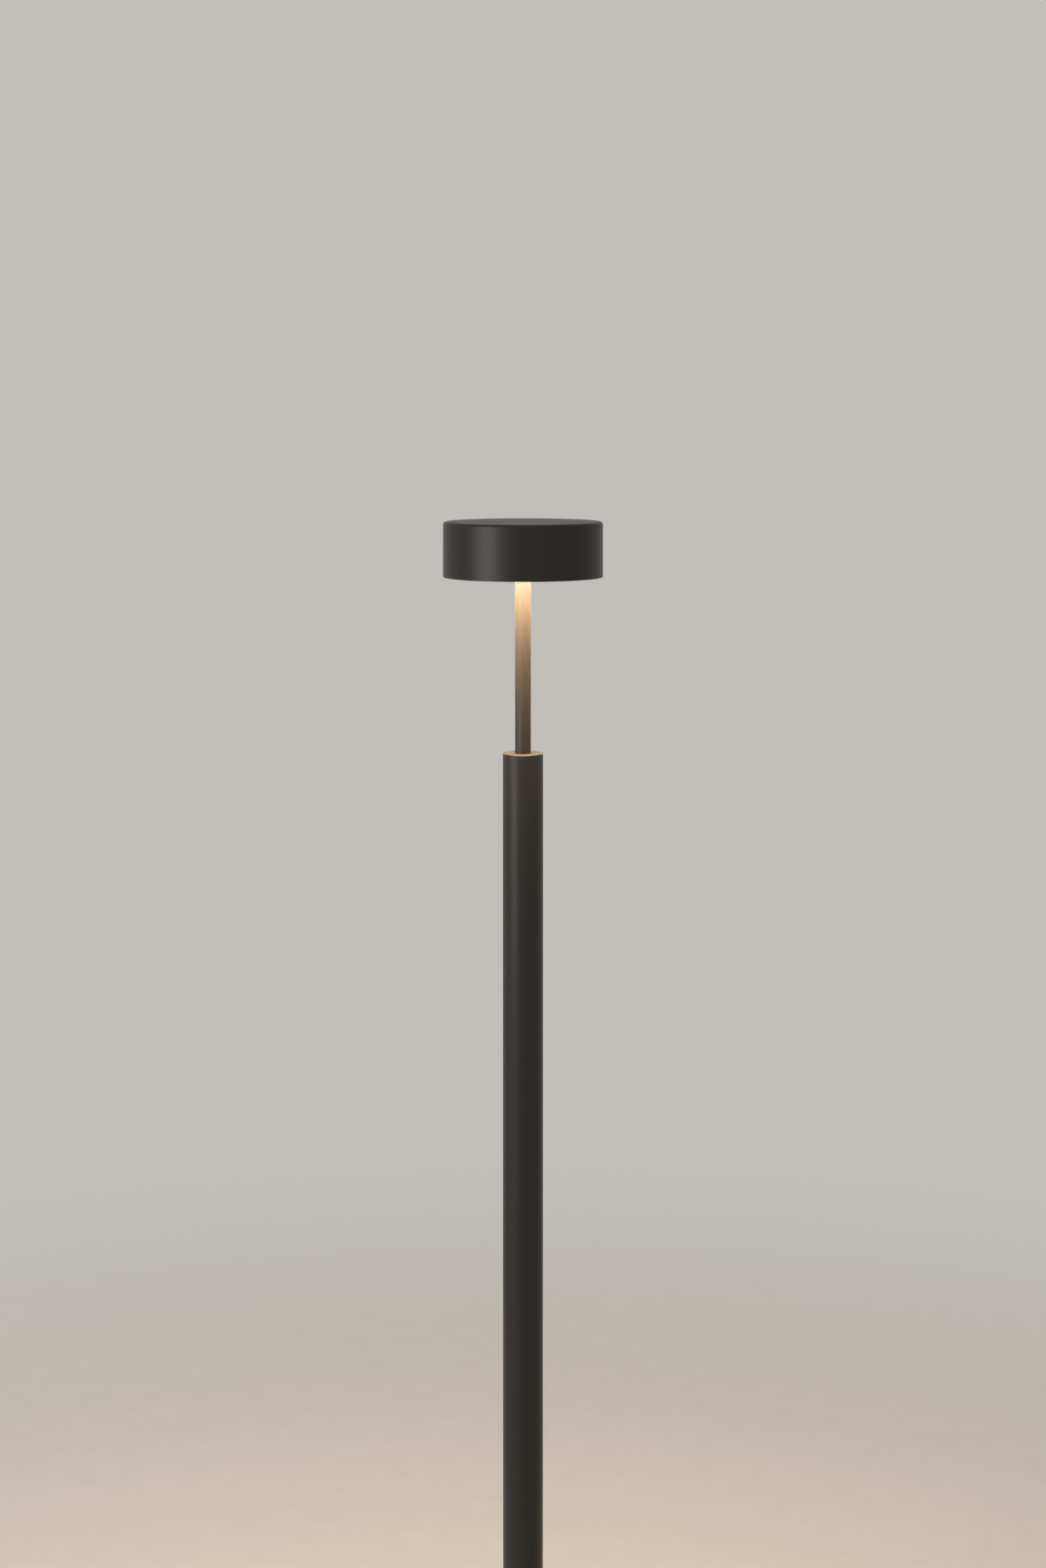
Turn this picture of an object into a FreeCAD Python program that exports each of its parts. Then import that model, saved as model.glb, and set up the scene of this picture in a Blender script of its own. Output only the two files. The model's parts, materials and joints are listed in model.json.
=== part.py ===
import FreeCAD, Part

import math
import os
import re

import Sketcher

# A column floor lamp: a drum head that shines down its own thin stem onto the top of a
# thicker column, on a round weighted base with a foot switch.
# The origin is on the floor, on the column's axis. +Z is up, -Y is the front. Millimetres.

V = FreeCAD.Vector

SIZES = {
    # the whole lamp
    "lamp_height": 1300,
    "fit_gap": 0.05,             # radial gap of a close fit
    "free_gap": 0.3,             # radial gap of a loose fit
    # head, heights from its rim
    "head_diameter": 150,
    "head_height": 52,
    "head_wall": 2,
    "head_top_wall": 3,
    "head_edge_radius": 3,
    "rim_edge_radius": 0.5,
    "ring_setback": 0.3,         # rim to the diffuser ring
    "ring_width": 3.5,
    "diffuser_recess": 2.5,      # rim to the diffuser
    "diffuser_thickness": 2,
    "grommet_wall": 1,
    "grommet_flange_width": 2.5,
    "grommet_flange_thickness": 1,
    "reflector_sheet": 1,
    "reflector_flange_width": 5,
    "board_gap": 4.6,            # board's edge to the shell screws' heads
    "board_bore": 34,
    "board_thickness": 1.6,
    "connector_offset": 2,       # inner ends of the fins to the connector
    "connector_length": 10,
    "connector_width": 10,
    "connector_rise": 3,         # above the sink's plate
    "connector_entry_depth": 2,
    "window_gap": 1,             # room round the connector in the plate
    "chip_width": 3,
    "chip_thickness": 0.8,
    "inner_chip_circle": 27,
    "outer_chip_inset": 14,      # board's edge to the outer chips
    "sink_plate": 5,
    "fin_thickness": 1.6,
    "fin_start": 27,
    "fin_gap": 3.5,              # fins to the posts
    "fin_headroom": 7,           # fin tops to the shell's top wall, room for the lead
    "post_height": 18.4,         # shell's top wall down to the plate
    "post_inset": 9,             # shell's inside to the posts' axes
    "post_diameter": 9,
    "head_screw_grip": 8,        # thread in a post
    "hub_flange_diameter": 50,
    "hub_flange_thickness": 4,
    "hub_boss_diameter": 28,
    "hub_boss_height": 8,
    "hub_lip": 2,                # shoulder that the stem's top end meets
    "hub_screw_circle": 20,
    # stem
    "stem_diameter": 15,
    "stem_wall": 2,
    "stem_exposed": 166,         # column top to head rim
    "stem_end_diameter": 13,     # threaded lower end
    "stem_end_length": 17,
    "washer_gap": 4,             # tube's inside to the washer
    "washer_thickness": 1.5,
    "nut_thickness": 6,
    "nut_wall": 3,
    # column
    "column_diameter": 38,
    "column_wall": 1.5,
    "cap_flange_thickness": 4,
    "cap_edge_radius": 0.6,
    "seam_edge_radius": 0.2,     # where the cap meets the tube
    "cap_spigot_length": 26,
    "cap_socket_depth": 24,
    "cap_screw_drop": 15,        # column top to the cap screws
    "foot_plug_height": 40,
    "foot_plug_bore": 13,
    "foot_screw_height": 22,
    "driver_length": 140,
    "driver_width": 22,
    "driver_depth": 18,
    "driver_drop": 300,          # column top to the driver's upper end
    "carrier_height": 10,
    "carrier_end_wall": 2,
    "carrier_lead_hole": 8,
    # base, heights from the floor
    "base_diameter": 250,
    "base_height": 16,           # cover skirt
    "base_sheet": 1.5,
    "base_edge_radius": 4,
    "rubber_height": 2,
    "rubber_diameter": 20,
    "rubber_inset": 19,          # base's edge to the pads' centres
    "bottom_sheet": 1.5,
    "collar_width": 4,
    "collar_height": 3,
    "collar_edge_radius": 1,
    "lead_hole": 11,
    "channel_width": 7,
    "channel_depth": 7,
    "side_channel_offset": 22,
    "supply_slot_length": 14,    # column's axis to the end of the slot for the bend
    "switch_channel_start": 12,  # button's axis to the channel
    "switch_link_length": 22,
    "bolt_circle": 12,
    "bolt_length": 24,
    "bolt_seat_room": 0.5,
    "plate_screw_length": 8,
    "plate_screw_sink": 0.2,
    "plate_screw_inset": 33,     # base's edge to the bottom plate's screws
    "terminal_inset": 41,        # base's edge to the terminal block
    "terminal_width": 28,
    "terminal_depth": 12,
    "terminal_height": 9,
    "terminal_headroom": 1,
    "pocket_gap": 6,             # room round the terminal block for its wires
    "pocket_run": 24,            # terminal block to where its leads have spread
    "bush_bore": 7,
    "bush_wall": 1,
    "bush_flange_width": 1,
    "bush_flange_thickness": 2,
    "bush_rise": 6,              # bottom plate to the cord inlet's axis
    # foot switch
    "switch_inset": 45,          # base's edge to the button's axis
    "button_diameter": 24,
    "button_wall": 1.8,
    "button_rise": 4.5,          # cover to the button's top
    "button_travel": 3,
    "button_flange_width": 1.4,
    "button_flange_thickness": 1.8,
    "button_edge_radius": 1.2,
    "bezel_wall": 1.5,
    "bezel_flange_width": 4,
    "bezel_flange_thickness": 1.6,
    "bezel_edge_radius": 0.8,
    "bezel_nut_width": 2.6,
    "bezel_nut_thickness": 3,
    "switch_diameter": 17,
    "switch_foot_diameter": 32,
    "switch_foot_height": 3,
    "plunger_diameter": 5,
    "plunger_length": 11,
    "plunger_room": 0.5,         # below the plunger when the button is down
    "spring_diameter": 9.4,
    "spring_wire": 0.6,
    "spring_turns": 3,
    "spring_room": 3.2,          # what is left for the spring when the button is down
    "spring_end_gap": 0.1,
    # leads
    "lead_diameter": 3,
    "supply_lead_diameter": 5,
    "lead_fin_gap": 1,           # fins to the head lead
    "stem_end_bend": 5,
    "connector_bend": 4,
    "supply_lead_lift": 0.5,     # bottom plate to the lead
    "supply_bend": 10,
    "switch_lead_lift": 0.1,
    "switch_lead_start": 9,      # to the side of the terminal block's middle
    "switch_lead_run": 8,
    "switch_lead_approach": 14,  # button's axis back to where the lead turns in
    # screws: a thread's core is what a tapped hole measures
    "small_screw": 3,
    "screw": 4,
    "bolt": 5,
    "core_share": 0.82,
    "screw_end_room": 0.5,       # a screw's end to the face it would come out of
    "hole_runout": 2,            # a tapped hole beyond its screw
}

# A screw's head and socket, as shares of its thread.
HEAD_HEIGHT_SHARE = 0.7
HEAD_RADIUS_SHARE = 0.85
SOCKET_SHARE = 0.7
FLAT_SOCKET_SHARE = 0.6
GRUB_SOCKET_SHARE = 0.5
SOCKET_DEPTH_SHARE = 0.4

# How many there are of each set.
FINS = 24
INNER_CHIPS = 8
OUTER_CHIPS = 16
POSTS = 3
BOARD_SCREWS = 4
HUB_SCREWS = 4
FOOT_BOLTS = 4
PLATE_SCREWS = 4
RUBBER_PADS = 6

# Where sets start, in degrees round from +X, and how far their two screws stand apart.
REAR = 90
DIAGONAL = 45
HUB_GRUB_SPAN = 90
REAR_SCREW_TURN = 50
REAR_SCREW_SPAN = 80
DIAGONAL_SHARE = math.cos(math.radians(DIAGONAL))

# A lead bends over this share of the shorter of the two runs that meet.
BEND_SHARE = 0.45

# How near counts as the same, in millimetres, cubic millimetres and as a share of a volume.
SAME_PLACE = 0.001
LEAST_CUT = 1e-6
VOLUME_SLACK = 0.01

doc = FreeCAD.newDocument("column_floor_lamp")
sizes = doc.addObject("Spreadsheet::Sheet", "Sizes")
for row, (alias, number) in enumerate(SIZES.items(), 1):
    sizes.set(f"A{row}", alias.replace("_", " "))
    sizes.set(f"B{row}", str(number))
    sizes.setAlias(f"B{row}", alias)
doc.recompute()

# Heights and radii that several pieces share, worked out from the sizes.
HEAD_RIM = "(lamp_height - head_height)"
COLUMN_TOP = "(lamp_height - head_height - stem_exposed)"
HEAD_INSIDE = "(head_diameter / 2 - head_wall)"
HEAD_CEILING = "(head_height - head_top_wall)"
DIFFUSER_TOP = "(diffuser_recess + diffuser_thickness)"
POST_CIRCLE = f"({HEAD_INSIDE} - post_inset)"
FIN_END = f"({POST_CIRCLE} - post_diameter / 2 - fin_gap)"
BOARD_RADIUS = f"({POST_CIRCLE} - screw * {HEAD_RADIUS_SHARE} - board_gap)"
OUTER_CHIP_CIRCLE = f"({BOARD_RADIUS} - outer_chip_inset)"
BOARD_SCREW_CIRCLE = f"((inner_chip_circle + {OUTER_CHIP_CIRCLE}) / 2)"
SINK_TOP = f"({HEAD_CEILING} - post_height)"
SINK_BOTTOM = f"({SINK_TOP} - sink_plate)"
BOARD_BOTTOM = f"({SINK_BOTTOM} - board_thickness)"
CONNECTOR_REACH = "(fin_start + connector_offset + connector_length / 2)"
HUB_TOP = f"({SINK_TOP} + hub_flange_thickness + hub_boss_height)"
STEM_HEAD_END = f"({HUB_TOP} - hub_lip)"
HUB_GRUB_HEIGHT = f"({SINK_TOP} + hub_flange_thickness + hub_boss_height / 2 - hub_lip / 2)"
STEM_RADIUS = "(stem_diameter / 2)"
STEM_BORE = "(stem_diameter / 2 - stem_wall)"
COLUMN_RADIUS = "(column_diameter / 2)"
COLUMN_BORE = "(column_diameter / 2 - column_wall)"
BALLAST_BOTTOM = "(rubber_height + bottom_sheet)"
BALLAST_HEIGHT = "(base_height - base_sheet - bottom_sheet)"
BASE_INSIDE_TOP = "(rubber_height + base_height - base_sheet)"
BASE_TOP = "(rubber_height + base_height)"
BASE_RADIUS = "(base_diameter / 2)"
BASE_BORE = "(base_diameter / 2 - base_sheet)"
SWITCH_DISTANCE = "(base_diameter / 2 - switch_inset)"
TERMINAL_DISTANCE = "(base_diameter / 2 - terminal_inset)"
PLATE_SCREW_CIRCLE = "(base_diameter / 2 - plate_screw_inset)"
RUBBER_CIRCLE = "(base_diameter / 2 - rubber_inset)"
BEZEL_BORE = "(button_diameter / 2 + free_gap)"
BEZEL_OUTSIDE = f"({BEZEL_BORE} + bezel_wall)"
BUTTON_TOP = f"({BASE_TOP} + button_rise)"
BUTTON_CEILING = f"({BUTTON_TOP} - button_wall)"
BUTTON_FLANGE_LOW = f"({BALLAST_BOTTOM} + switch_foot_height + free_gap + button_travel)"
BEZEL_BOTTOM = f"({BUTTON_FLANGE_LOW} + button_flange_thickness + free_gap)"
SWITCH_HOLE = f"({BEZEL_OUTSIDE} + bezel_nut_width + free_gap)"
SWITCH_TOP = f"({BUTTON_CEILING} - button_travel - spring_room)"
BOLT_SEAT_DEPTH = f"(bolt * {HEAD_HEIGHT_SHARE} + bolt_seat_room)"
BOLT_SEAT = f"({BALLAST_BOTTOM} + {BOLT_SEAT_DEPTH})"
BUSH_OUTSIDE = "(bush_bore / 2 + bush_wall)"


# ---- helpers -------------------------------------------------------------------------

def bound(text):
    """The expression, with each size read from the sheet."""
    return re.sub(r"[a-z][a-z_]*", lambda word: "Sizes." + word.group(), text)


def value(text):
    """What the expression comes to."""
    return float(sizes.evalExpression(bound(text)))


def new_body(label):
    body = doc.addObject("PartDesign::Body", label)
    body.Label = label
    return body


def origin_feature(body, role):
    return [feature for feature in body.Origin.OriginFeatures if feature.Role == role][0]


def new_sketch(body, name, role, height="0", turn=0):
    """A sketch on an origin plane of the body, raised along its normal or turned about its Y."""
    sketch = body.newObject("Sketcher::SketchObject", name)
    sketch.AttachmentSupport = [(origin_feature(body, role), "")]
    sketch.MapMode = "FlatFace"
    sketch.AttachmentOffset = FreeCAD.Placement(V(0, 0, 0), FreeCAD.Rotation(V(0, 1, 0), turn))
    sketch.setExpression("AttachmentOffset.Base.z", bound(height))
    return sketch


def hold(sketch, element, point, x, y):
    """Ties a point of the sketch to its place in the sheet."""
    along = sketch.addConstraint(Sketcher.Constraint("DistanceX", -1, 1, element, point, value(x)))
    sketch.setExpression(f"Constraints[{along}]", bound(x))
    across = sketch.addConstraint(Sketcher.Constraint("DistanceY", -1, 1, element, point, value(y)))
    sketch.setExpression(f"Constraints[{across}]", bound(y))


def polygon(sketch, corners):
    """A closed outline of straight lines."""
    places = [V(value(x), value(y), 0) for x, y in corners]
    first = sketch.GeometryCount
    count = len(corners)
    for number in range(count):
        line = Part.LineSegment(places[number], places[(number + 1) % count])
        sketch.addGeometry(line, False)
    for number in range(count):
        following = first + (number + 1) % count
        sketch.addConstraint(Sketcher.Constraint("Coincident", first + number, 2, following, 1))
    for number, (x, y) in enumerate(corners):
        hold(sketch, first + number, 1, x, y)


def rectangle(sketch, low_x, low_y, high_x, high_y):
    polygon(sketch, [(low_x, low_y), (high_x, low_y), (high_x, high_y), (low_x, high_y)])


def circle(sketch, x, y, radius):
    shape = Part.Circle(V(value(x), value(y), 0), V(0, 0, 1), value(radius))
    element = sketch.addGeometry(shape, False)
    size = sketch.addConstraint(Sketcher.Constraint("Radius", element, value(radius)))
    sketch.setExpression(f"Constraints[{size}]", bound(radius))
    hold(sketch, element, 3, x, y)


def hexagon(sketch, x, y, across_flats):
    corners = []
    for number in range(6):
        angle = math.radians(60 * number)
        reach = f"({across_flats}) / {math.sqrt(3):.6f}"
        corners.append((f"({x}) + {reach} * ({math.cos(angle):.6f})",
                        f"({y}) + {reach} * ({math.sin(angle):.6f})"))
    polygon(sketch, corners)


def pad(body, sketch, length):
    feature = body.newObject("PartDesign::Pad", sketch.Name + "_pad")
    feature.Profile = sketch
    feature.setExpression("Length", bound(length))
    doc.recompute()
    return feature


def cut(body, sketch, depth=None, along_normal=False):
    """A pocket, right through where no depth is given, that has to remove something."""
    before = body.Shape.Volume
    feature = body.newObject("PartDesign::Pocket", sketch.Name + "_cut")
    feature.Profile = sketch
    feature.Reversed = along_normal
    if depth is None:
        feature.Type = "ThroughAll"
    else:
        feature.setExpression("Length", bound(depth))
    doc.recompute()
    if not body.Shape.Volume < before - LEAST_CUT:
        raise RuntimeError(f"{feature.Name} cuts nothing")
    return feature


def around(body, features, count, name, angle=360):
    """The features repeated about the body's own Z axis."""
    pattern = body.newObject("PartDesign::PolarPattern", name)
    pattern.Originals = features
    pattern.Axis = (origin_feature(body, "Z_Axis"), [""])
    pattern.Angle = angle
    pattern.Occurrences = count
    body.Tip = pattern
    doc.recompute()


def round_edges(body, radius_text, rings):
    """A fillet on the body's ring edges with these radii and heights."""
    base = body.Tip
    names = []
    for number, edge in enumerate(base.Shape.Edges, 1):
        if not isinstance(edge.Curve, Part.Circle):
            continue
        centre = edge.Curve.Center
        for radius, height in rings:
            aside = math.hypot(centre.x, centre.y)
            off = max(abs(edge.Curve.Radius - value(radius)), abs(centre.z - value(height)), aside)
            if off < SAME_PLACE:
                names.append(f"Edge{number}")
    feature = body.newObject("PartDesign::Fillet", body.Label + "_edges")
    feature.Base = (base, names)
    feature.setExpression("Radius", bound(radius_text))
    doc.recompute()


def turned(label, corners, height="0", forward="0"):
    """A piece turned about its own Z axis from an outline of radii and heights."""
    body = new_body(label)
    sketch = new_sketch(body, label + "_outline", "XZ_Plane")
    polygon(sketch, corners)
    feature = body.newObject("PartDesign::Revolution", label + "_turned")
    feature.Profile = sketch
    feature.ReferenceAxis = (sketch, ["V_Axis"])
    feature.Angle = 360
    place(body, height, forward)
    doc.recompute()
    return body


def ring(label, inner, outer, low, high, height="0", forward="0"):
    return turned(label, [(inner, low), (outer, low), (outer, high), (inner, high)], height, forward)


def place(body, height, forward="0", turn=0):
    """Puts the piece at its height, and forward of the column's axis, towards -Y."""
    body.Placement = FreeCAD.Placement(V(0, 0, 0), FreeCAD.Rotation(V(0, 0, 1), turn))
    body.setExpression("Placement.Base.z", bound(height))
    body.setExpression("Placement.Base.y", bound(f"0 - ({forward})"))


def turned_screw(body, sketch, reach):
    """Turns the sketch's half outline of a screw about the upright line at its reach."""
    axis = sketch.addGeometry(Part.LineSegment(V(value(reach), 0, 0), V(value(reach), 1, 0)), True)
    hold(sketch, axis, 1, reach, "0")
    hold(sketch, axis, 2, reach, "1")
    screw = body.newObject("PartDesign::Revolution", body.Label + "_turned")
    screw.Profile = sketch
    screw.ReferenceAxis = (sketch, ["Axis0"])
    screw.Angle = 360
    doc.recompute()
    return screw


def upright_screws(label, reach, count, thread, length, height, shank_up, turn):
    """Socket screws on a circle. Their heads' bearing faces are at the height given."""
    side = 1 if shank_up else -1
    head_end = f"0 - ({thread} * {HEAD_HEIGHT_SHARE}) * ({side})"
    head_radius = f"{thread} * {HEAD_RADIUS_SHARE}"
    shank = f"{thread} * core_share / 2"
    body = new_body(label)
    sketch = new_sketch(body, label + "_outline", "XZ_Plane")
    polygon(sketch, [
        (reach, head_end), (f"{reach} + {head_radius}", head_end), (f"{reach} + {head_radius}", "0"),
        (f"{reach} + {shank}", "0"), (f"{reach} + {shank}", f"({length}) * ({side})"),
        (reach, f"({length}) * ({side})"),
    ])
    screw = turned_screw(body, sketch, reach)
    socket_sketch = new_sketch(body, label + "_socket", "XY_Plane", head_end)
    hexagon(socket_sketch, reach, "0", f"{thread} * {SOCKET_SHARE}")
    socket = cut(body, socket_sketch, f"{thread} * {SOCKET_DEPTH_SHARE}", along_normal=shank_up)
    around(body, [screw, socket], count, label + "_set")
    place(body, height, "0", turn)


def grub_screws(label, inner, outer, height, turn, span):
    """Two grub screws that point at the axis, with their sockets outwards."""
    body = new_body(label)
    sketch = new_sketch(body, label + "_outline", "XZ_Plane")
    rectangle(sketch, inner, "0", outer, "screw * core_share / 2")
    screw = body.newObject("PartDesign::Revolution", label + "_turned")
    screw.Profile = sketch
    screw.ReferenceAxis = (sketch, ["H_Axis"])
    screw.Angle = 360
    doc.recompute()
    socket_sketch = new_sketch(body, label + "_socket", "YZ_Plane", outer)
    hexagon(socket_sketch, "0", "0", f"screw * {GRUB_SOCKET_SHARE}")
    socket = cut(body, socket_sketch, f"screw * {SOCKET_DEPTH_SHARE}")
    around(body, [screw, socket], 2, label + "_set", span)
    place(body, height, "0", turn)


def rear_holes(body, name, height, radius):
    """Two round holes through a tube's rear wall, aslant to left and right."""
    sketch = new_sketch(body, name, "YZ_Plane", turn=REAR_SCREW_TURN)
    circle(sketch, "0", height, radius)
    hole = cut(body, sketch, along_normal=True)
    around(body, [hole], 2, name + "_set", REAR_SCREW_SPAN)


def rounded_path(points):
    """Straight runs joined by arcs, each as large as its two runs leave room for."""
    edges = []
    start = points[0]
    for before, corner, after in zip(points, points[1:], points[2:]):
        inward = (corner - before).normalize()
        outward = (after - corner).normalize()
        half_turn = inward.getAngle(outward) / 2
        trim = BEND_SHARE * min((corner - before).Length, (after - corner).Length)
        radius = trim / math.tan(half_turn)
        entry = corner - inward * trim
        exit_point = corner + outward * trim
        bisector = (outward - inward).normalize()
        middle = corner + bisector * (radius / math.cos(half_turn) - radius)
        edges.append(Part.LineSegment(start, entry).toShape())
        edges.append(Part.Arc(entry, middle, exit_point).toShape())
        start = exit_point
        print(f"  bend of radius {radius:.1f}")
    edges.append(Part.LineSegment(start, points[-1]).toShape())
    return Part.Wire(edges)


def lead(label, diameter, corners):
    """An insulated lead along its whole route, in the lamp's own frame."""
    print(label)
    points = [V(value(x), value(y), value(z)) for x, y, z in corners]
    path = rounded_path(points)
    radius = value(diameter) / 2
    first_run = (points[1] - points[0]).normalize()
    section = Part.Wire([Part.Circle(points[0], first_run, radius).toShape()])
    solid = path.makePipeShell([section], True, False)
    expected = math.pi * radius ** 2 * path.Length
    if abs(solid.Volume - expected) > VOLUME_SLACK * expected:
        raise RuntimeError(f"{label}: volume {solid.Volume:.0f}, not {expected:.0f}")
    feature = doc.addObject("Part::Feature", label)
    feature.Label = label
    feature.Shape = solid
    print(f"  {path.Length:.0f} mm long")


# ---- head ----------------------------------------------------------------------------

def head_shell():
    """Turned drum, open below, with three screw posts under its top."""
    body = turned("head_shell", [
        (HEAD_INSIDE, "0"), ("head_diameter / 2", "0"), ("head_diameter / 2", "head_height"),
        ("0", "head_height"), ("0", HEAD_CEILING), (HEAD_INSIDE, HEAD_CEILING),
    ], HEAD_RIM)
    round_edges(body, "head_edge_radius", [("head_diameter / 2", "head_height")])
    round_edges(body, "rim_edge_radius", [("head_diameter / 2", "0")])
    post_sketch = new_sketch(body, "head_post", "XY_Plane", SINK_TOP)
    circle(post_sketch, POST_CIRCLE, "0", "post_diameter / 2")
    post = pad(body, post_sketch, f"{HEAD_CEILING} - {SINK_TOP}")
    hole_sketch = new_sketch(body, "head_post_hole", "XY_Plane", SINK_TOP)
    circle(hole_sketch, POST_CIRCLE, "0", "screw * core_share / 2")
    hole = cut(body, hole_sketch, "head_screw_grip + 2 * hole_runout", along_normal=True)
    around(body, [post, hole], POSTS, "head_posts")
    place(body, HEAD_RIM, "0", REAR)


def diffuser_ring():
    ring("diffuser_ring", f"{HEAD_INSIDE} - fit_gap - ring_width", f"{HEAD_INSIDE} - fit_gap",
         "ring_setback", "diffuser_recess", HEAD_RIM)


def diffuser():
    """Opal disc with a hole for the stem's grommet."""
    ring("diffuser", f"{STEM_RADIUS} + fit_gap + grommet_wall", f"{HEAD_INSIDE} - free_gap",
         "diffuser_recess", DIFFUSER_TOP, HEAD_RIM)


def stem_grommet():
    """Soft ring that closes the diffuser's hole round the stem."""
    bore = f"{STEM_RADIUS} + fit_gap"
    waist = f"{bore} + grommet_wall"
    flange = f"{waist} + grommet_flange_width"
    turned("stem_grommet", [
        (bore, "diffuser_recess - grommet_flange_thickness"),
        (flange, "diffuser_recess - grommet_flange_thickness"),
        (flange, "diffuser_recess"), (waist, "diffuser_recess"),
        (waist, DIFFUSER_TOP), (flange, DIFFUSER_TOP),
        (flange, f"{DIFFUSER_TOP} + grommet_flange_thickness"),
        (bore, f"{DIFFUSER_TOP} + grommet_flange_thickness"),
    ], HEAD_RIM)


def reflector():
    """White cone from the board's edge down to the diffuser's edge."""
    top = f"{BOARD_RADIUS} + free_gap"
    foot = f"{HEAD_INSIDE} - free_gap - reflector_flange_width"
    turned("reflector", [
        (foot, DIFFUSER_TOP), (f"{HEAD_INSIDE} - free_gap", DIFFUSER_TOP),
        (f"{HEAD_INSIDE} - free_gap", f"{DIFFUSER_TOP} + reflector_sheet"),
        (f"{foot} + reflector_sheet", f"{DIFFUSER_TOP} + reflector_sheet"),
        (f"{top} + reflector_sheet", SINK_BOTTOM), (top, SINK_BOTTOM),
    ], HEAD_RIM)


def led_board():
    body = ring("led_board", "board_bore / 2", BOARD_RADIUS,
                BOARD_BOTTOM, SINK_BOTTOM, HEAD_RIM)
    sketch = new_sketch(body, "board_screw_hole", "XY_Plane", BOARD_BOTTOM)
    circle(sketch, BOARD_SCREW_CIRCLE, "0", "small_screw / 2 + free_gap")
    hole = cut(body, sketch, along_normal=True)
    around(body, [hole], BOARD_SCREWS, "board_screw_holes")
    place(body, HEAD_RIM, "0", DIAGONAL)


def led_chips():
    """Two rings of chips on the underside of the board."""
    body = new_body("led_chips")
    for name, reach, count in (
        ("inner", "inner_chip_circle", INNER_CHIPS),
        ("outer", OUTER_CHIP_CIRCLE, OUTER_CHIPS),
    ):
        sketch = new_sketch(body, name + "_chip", "XY_Plane", f"{BOARD_BOTTOM} - chip_thickness")
        rectangle(sketch, f"{reach} - chip_width / 2", "0 - chip_width / 2",
                  f"{reach} + chip_width / 2", "chip_width / 2")
        chip = pad(body, sketch, "chip_thickness")
        around(body, [chip], count, name + "_chips")
    place(body, HEAD_RIM)


def board_screws():
    upright_screws("board_screws", BOARD_SCREW_CIRCLE, BOARD_SCREWS, "small_screw",
                   "board_thickness + sink_plate - screw_end_room", f"{HEAD_RIM} + {BOARD_BOTTOM}",
                   shank_up=True, turn=DIAGONAL)


def heat_sink():
    """Finned plate that carries the board below, the hub above and the shell at its edge."""
    body = ring("heat_sink", f"{STEM_RADIUS} + free_gap", f"{HEAD_INSIDE} - free_gap",
                SINK_BOTTOM, SINK_TOP, HEAD_RIM)
    fin_sketch = new_sketch(body, "sink_fin", "XY_Plane", SINK_TOP)
    rectangle(fin_sketch, "fin_start", "0 - fin_thickness / 2", FIN_END, "fin_thickness / 2")
    fin = pad(body, fin_sketch, f"{HEAD_CEILING} - fin_headroom - {SINK_TOP}")
    around(body, [fin], FINS, "sink_fins")
    for name, reach, radius, count in (
        ("shell_screw_hole", POST_CIRCLE, "screw / 2 + free_gap", POSTS),
        ("hub_screw_hole", "hub_screw_circle", "screw * core_share / 2", HUB_SCREWS),
    ):
        sketch = new_sketch(body, name, "XY_Plane", SINK_BOTTOM)
        circle(sketch, reach, "0", radius)
        hole = cut(body, sketch, "sink_plate", along_normal=True)
        around(body, [hole], count, name + "s")
    board_hole = new_sketch(body, "sink_board_screw", "XY_Plane", SINK_BOTTOM)
    reach = f"{BOARD_SCREW_CIRCLE} * {DIAGONAL_SHARE:.6f}"
    circle(board_hole, reach, reach, "small_screw * core_share / 2")
    hole = cut(body, board_hole, "sink_plate", along_normal=True)
    around(body, [hole], BOARD_SCREWS, "sink_board_screws")
    window = new_sketch(body, "terminal_window", "XY_Plane", SINK_BOTTOM)
    side = "(connector_width / 2 + window_gap)"
    window_end = f"({CONNECTOR_REACH} + connector_length / 2 + window_gap)"
    window_start = f"({CONNECTOR_REACH} - connector_length / 2 - window_gap)"
    rectangle(window, f"0 - {side}", f"0 - {window_end}", side, f"0 - {window_start}")
    cut(body, window, along_normal=True)
    place(body, HEAD_RIM, "0", REAR)


def board_terminal():
    """Push-in connector on the back of the board, in the plate's window."""
    body = new_body("board_terminal")
    sketch = new_sketch(body, "connector_outline", "XY_Plane")
    rectangle(sketch, f"{CONNECTOR_REACH} - connector_length / 2", "0 - connector_width / 2",
              f"{CONNECTOR_REACH} + connector_length / 2", "connector_width / 2")
    pad(body, sketch, "sink_plate + connector_rise")
    entry = new_sketch(body, "connector_entry", "XY_Plane", "sink_plate + connector_rise")
    circle(entry, CONNECTOR_REACH, "0", "lead_diameter / 2 + free_gap")
    cut(body, entry, "connector_entry_depth")
    place(body, f"{HEAD_RIM} + {SINK_BOTTOM}")


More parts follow.
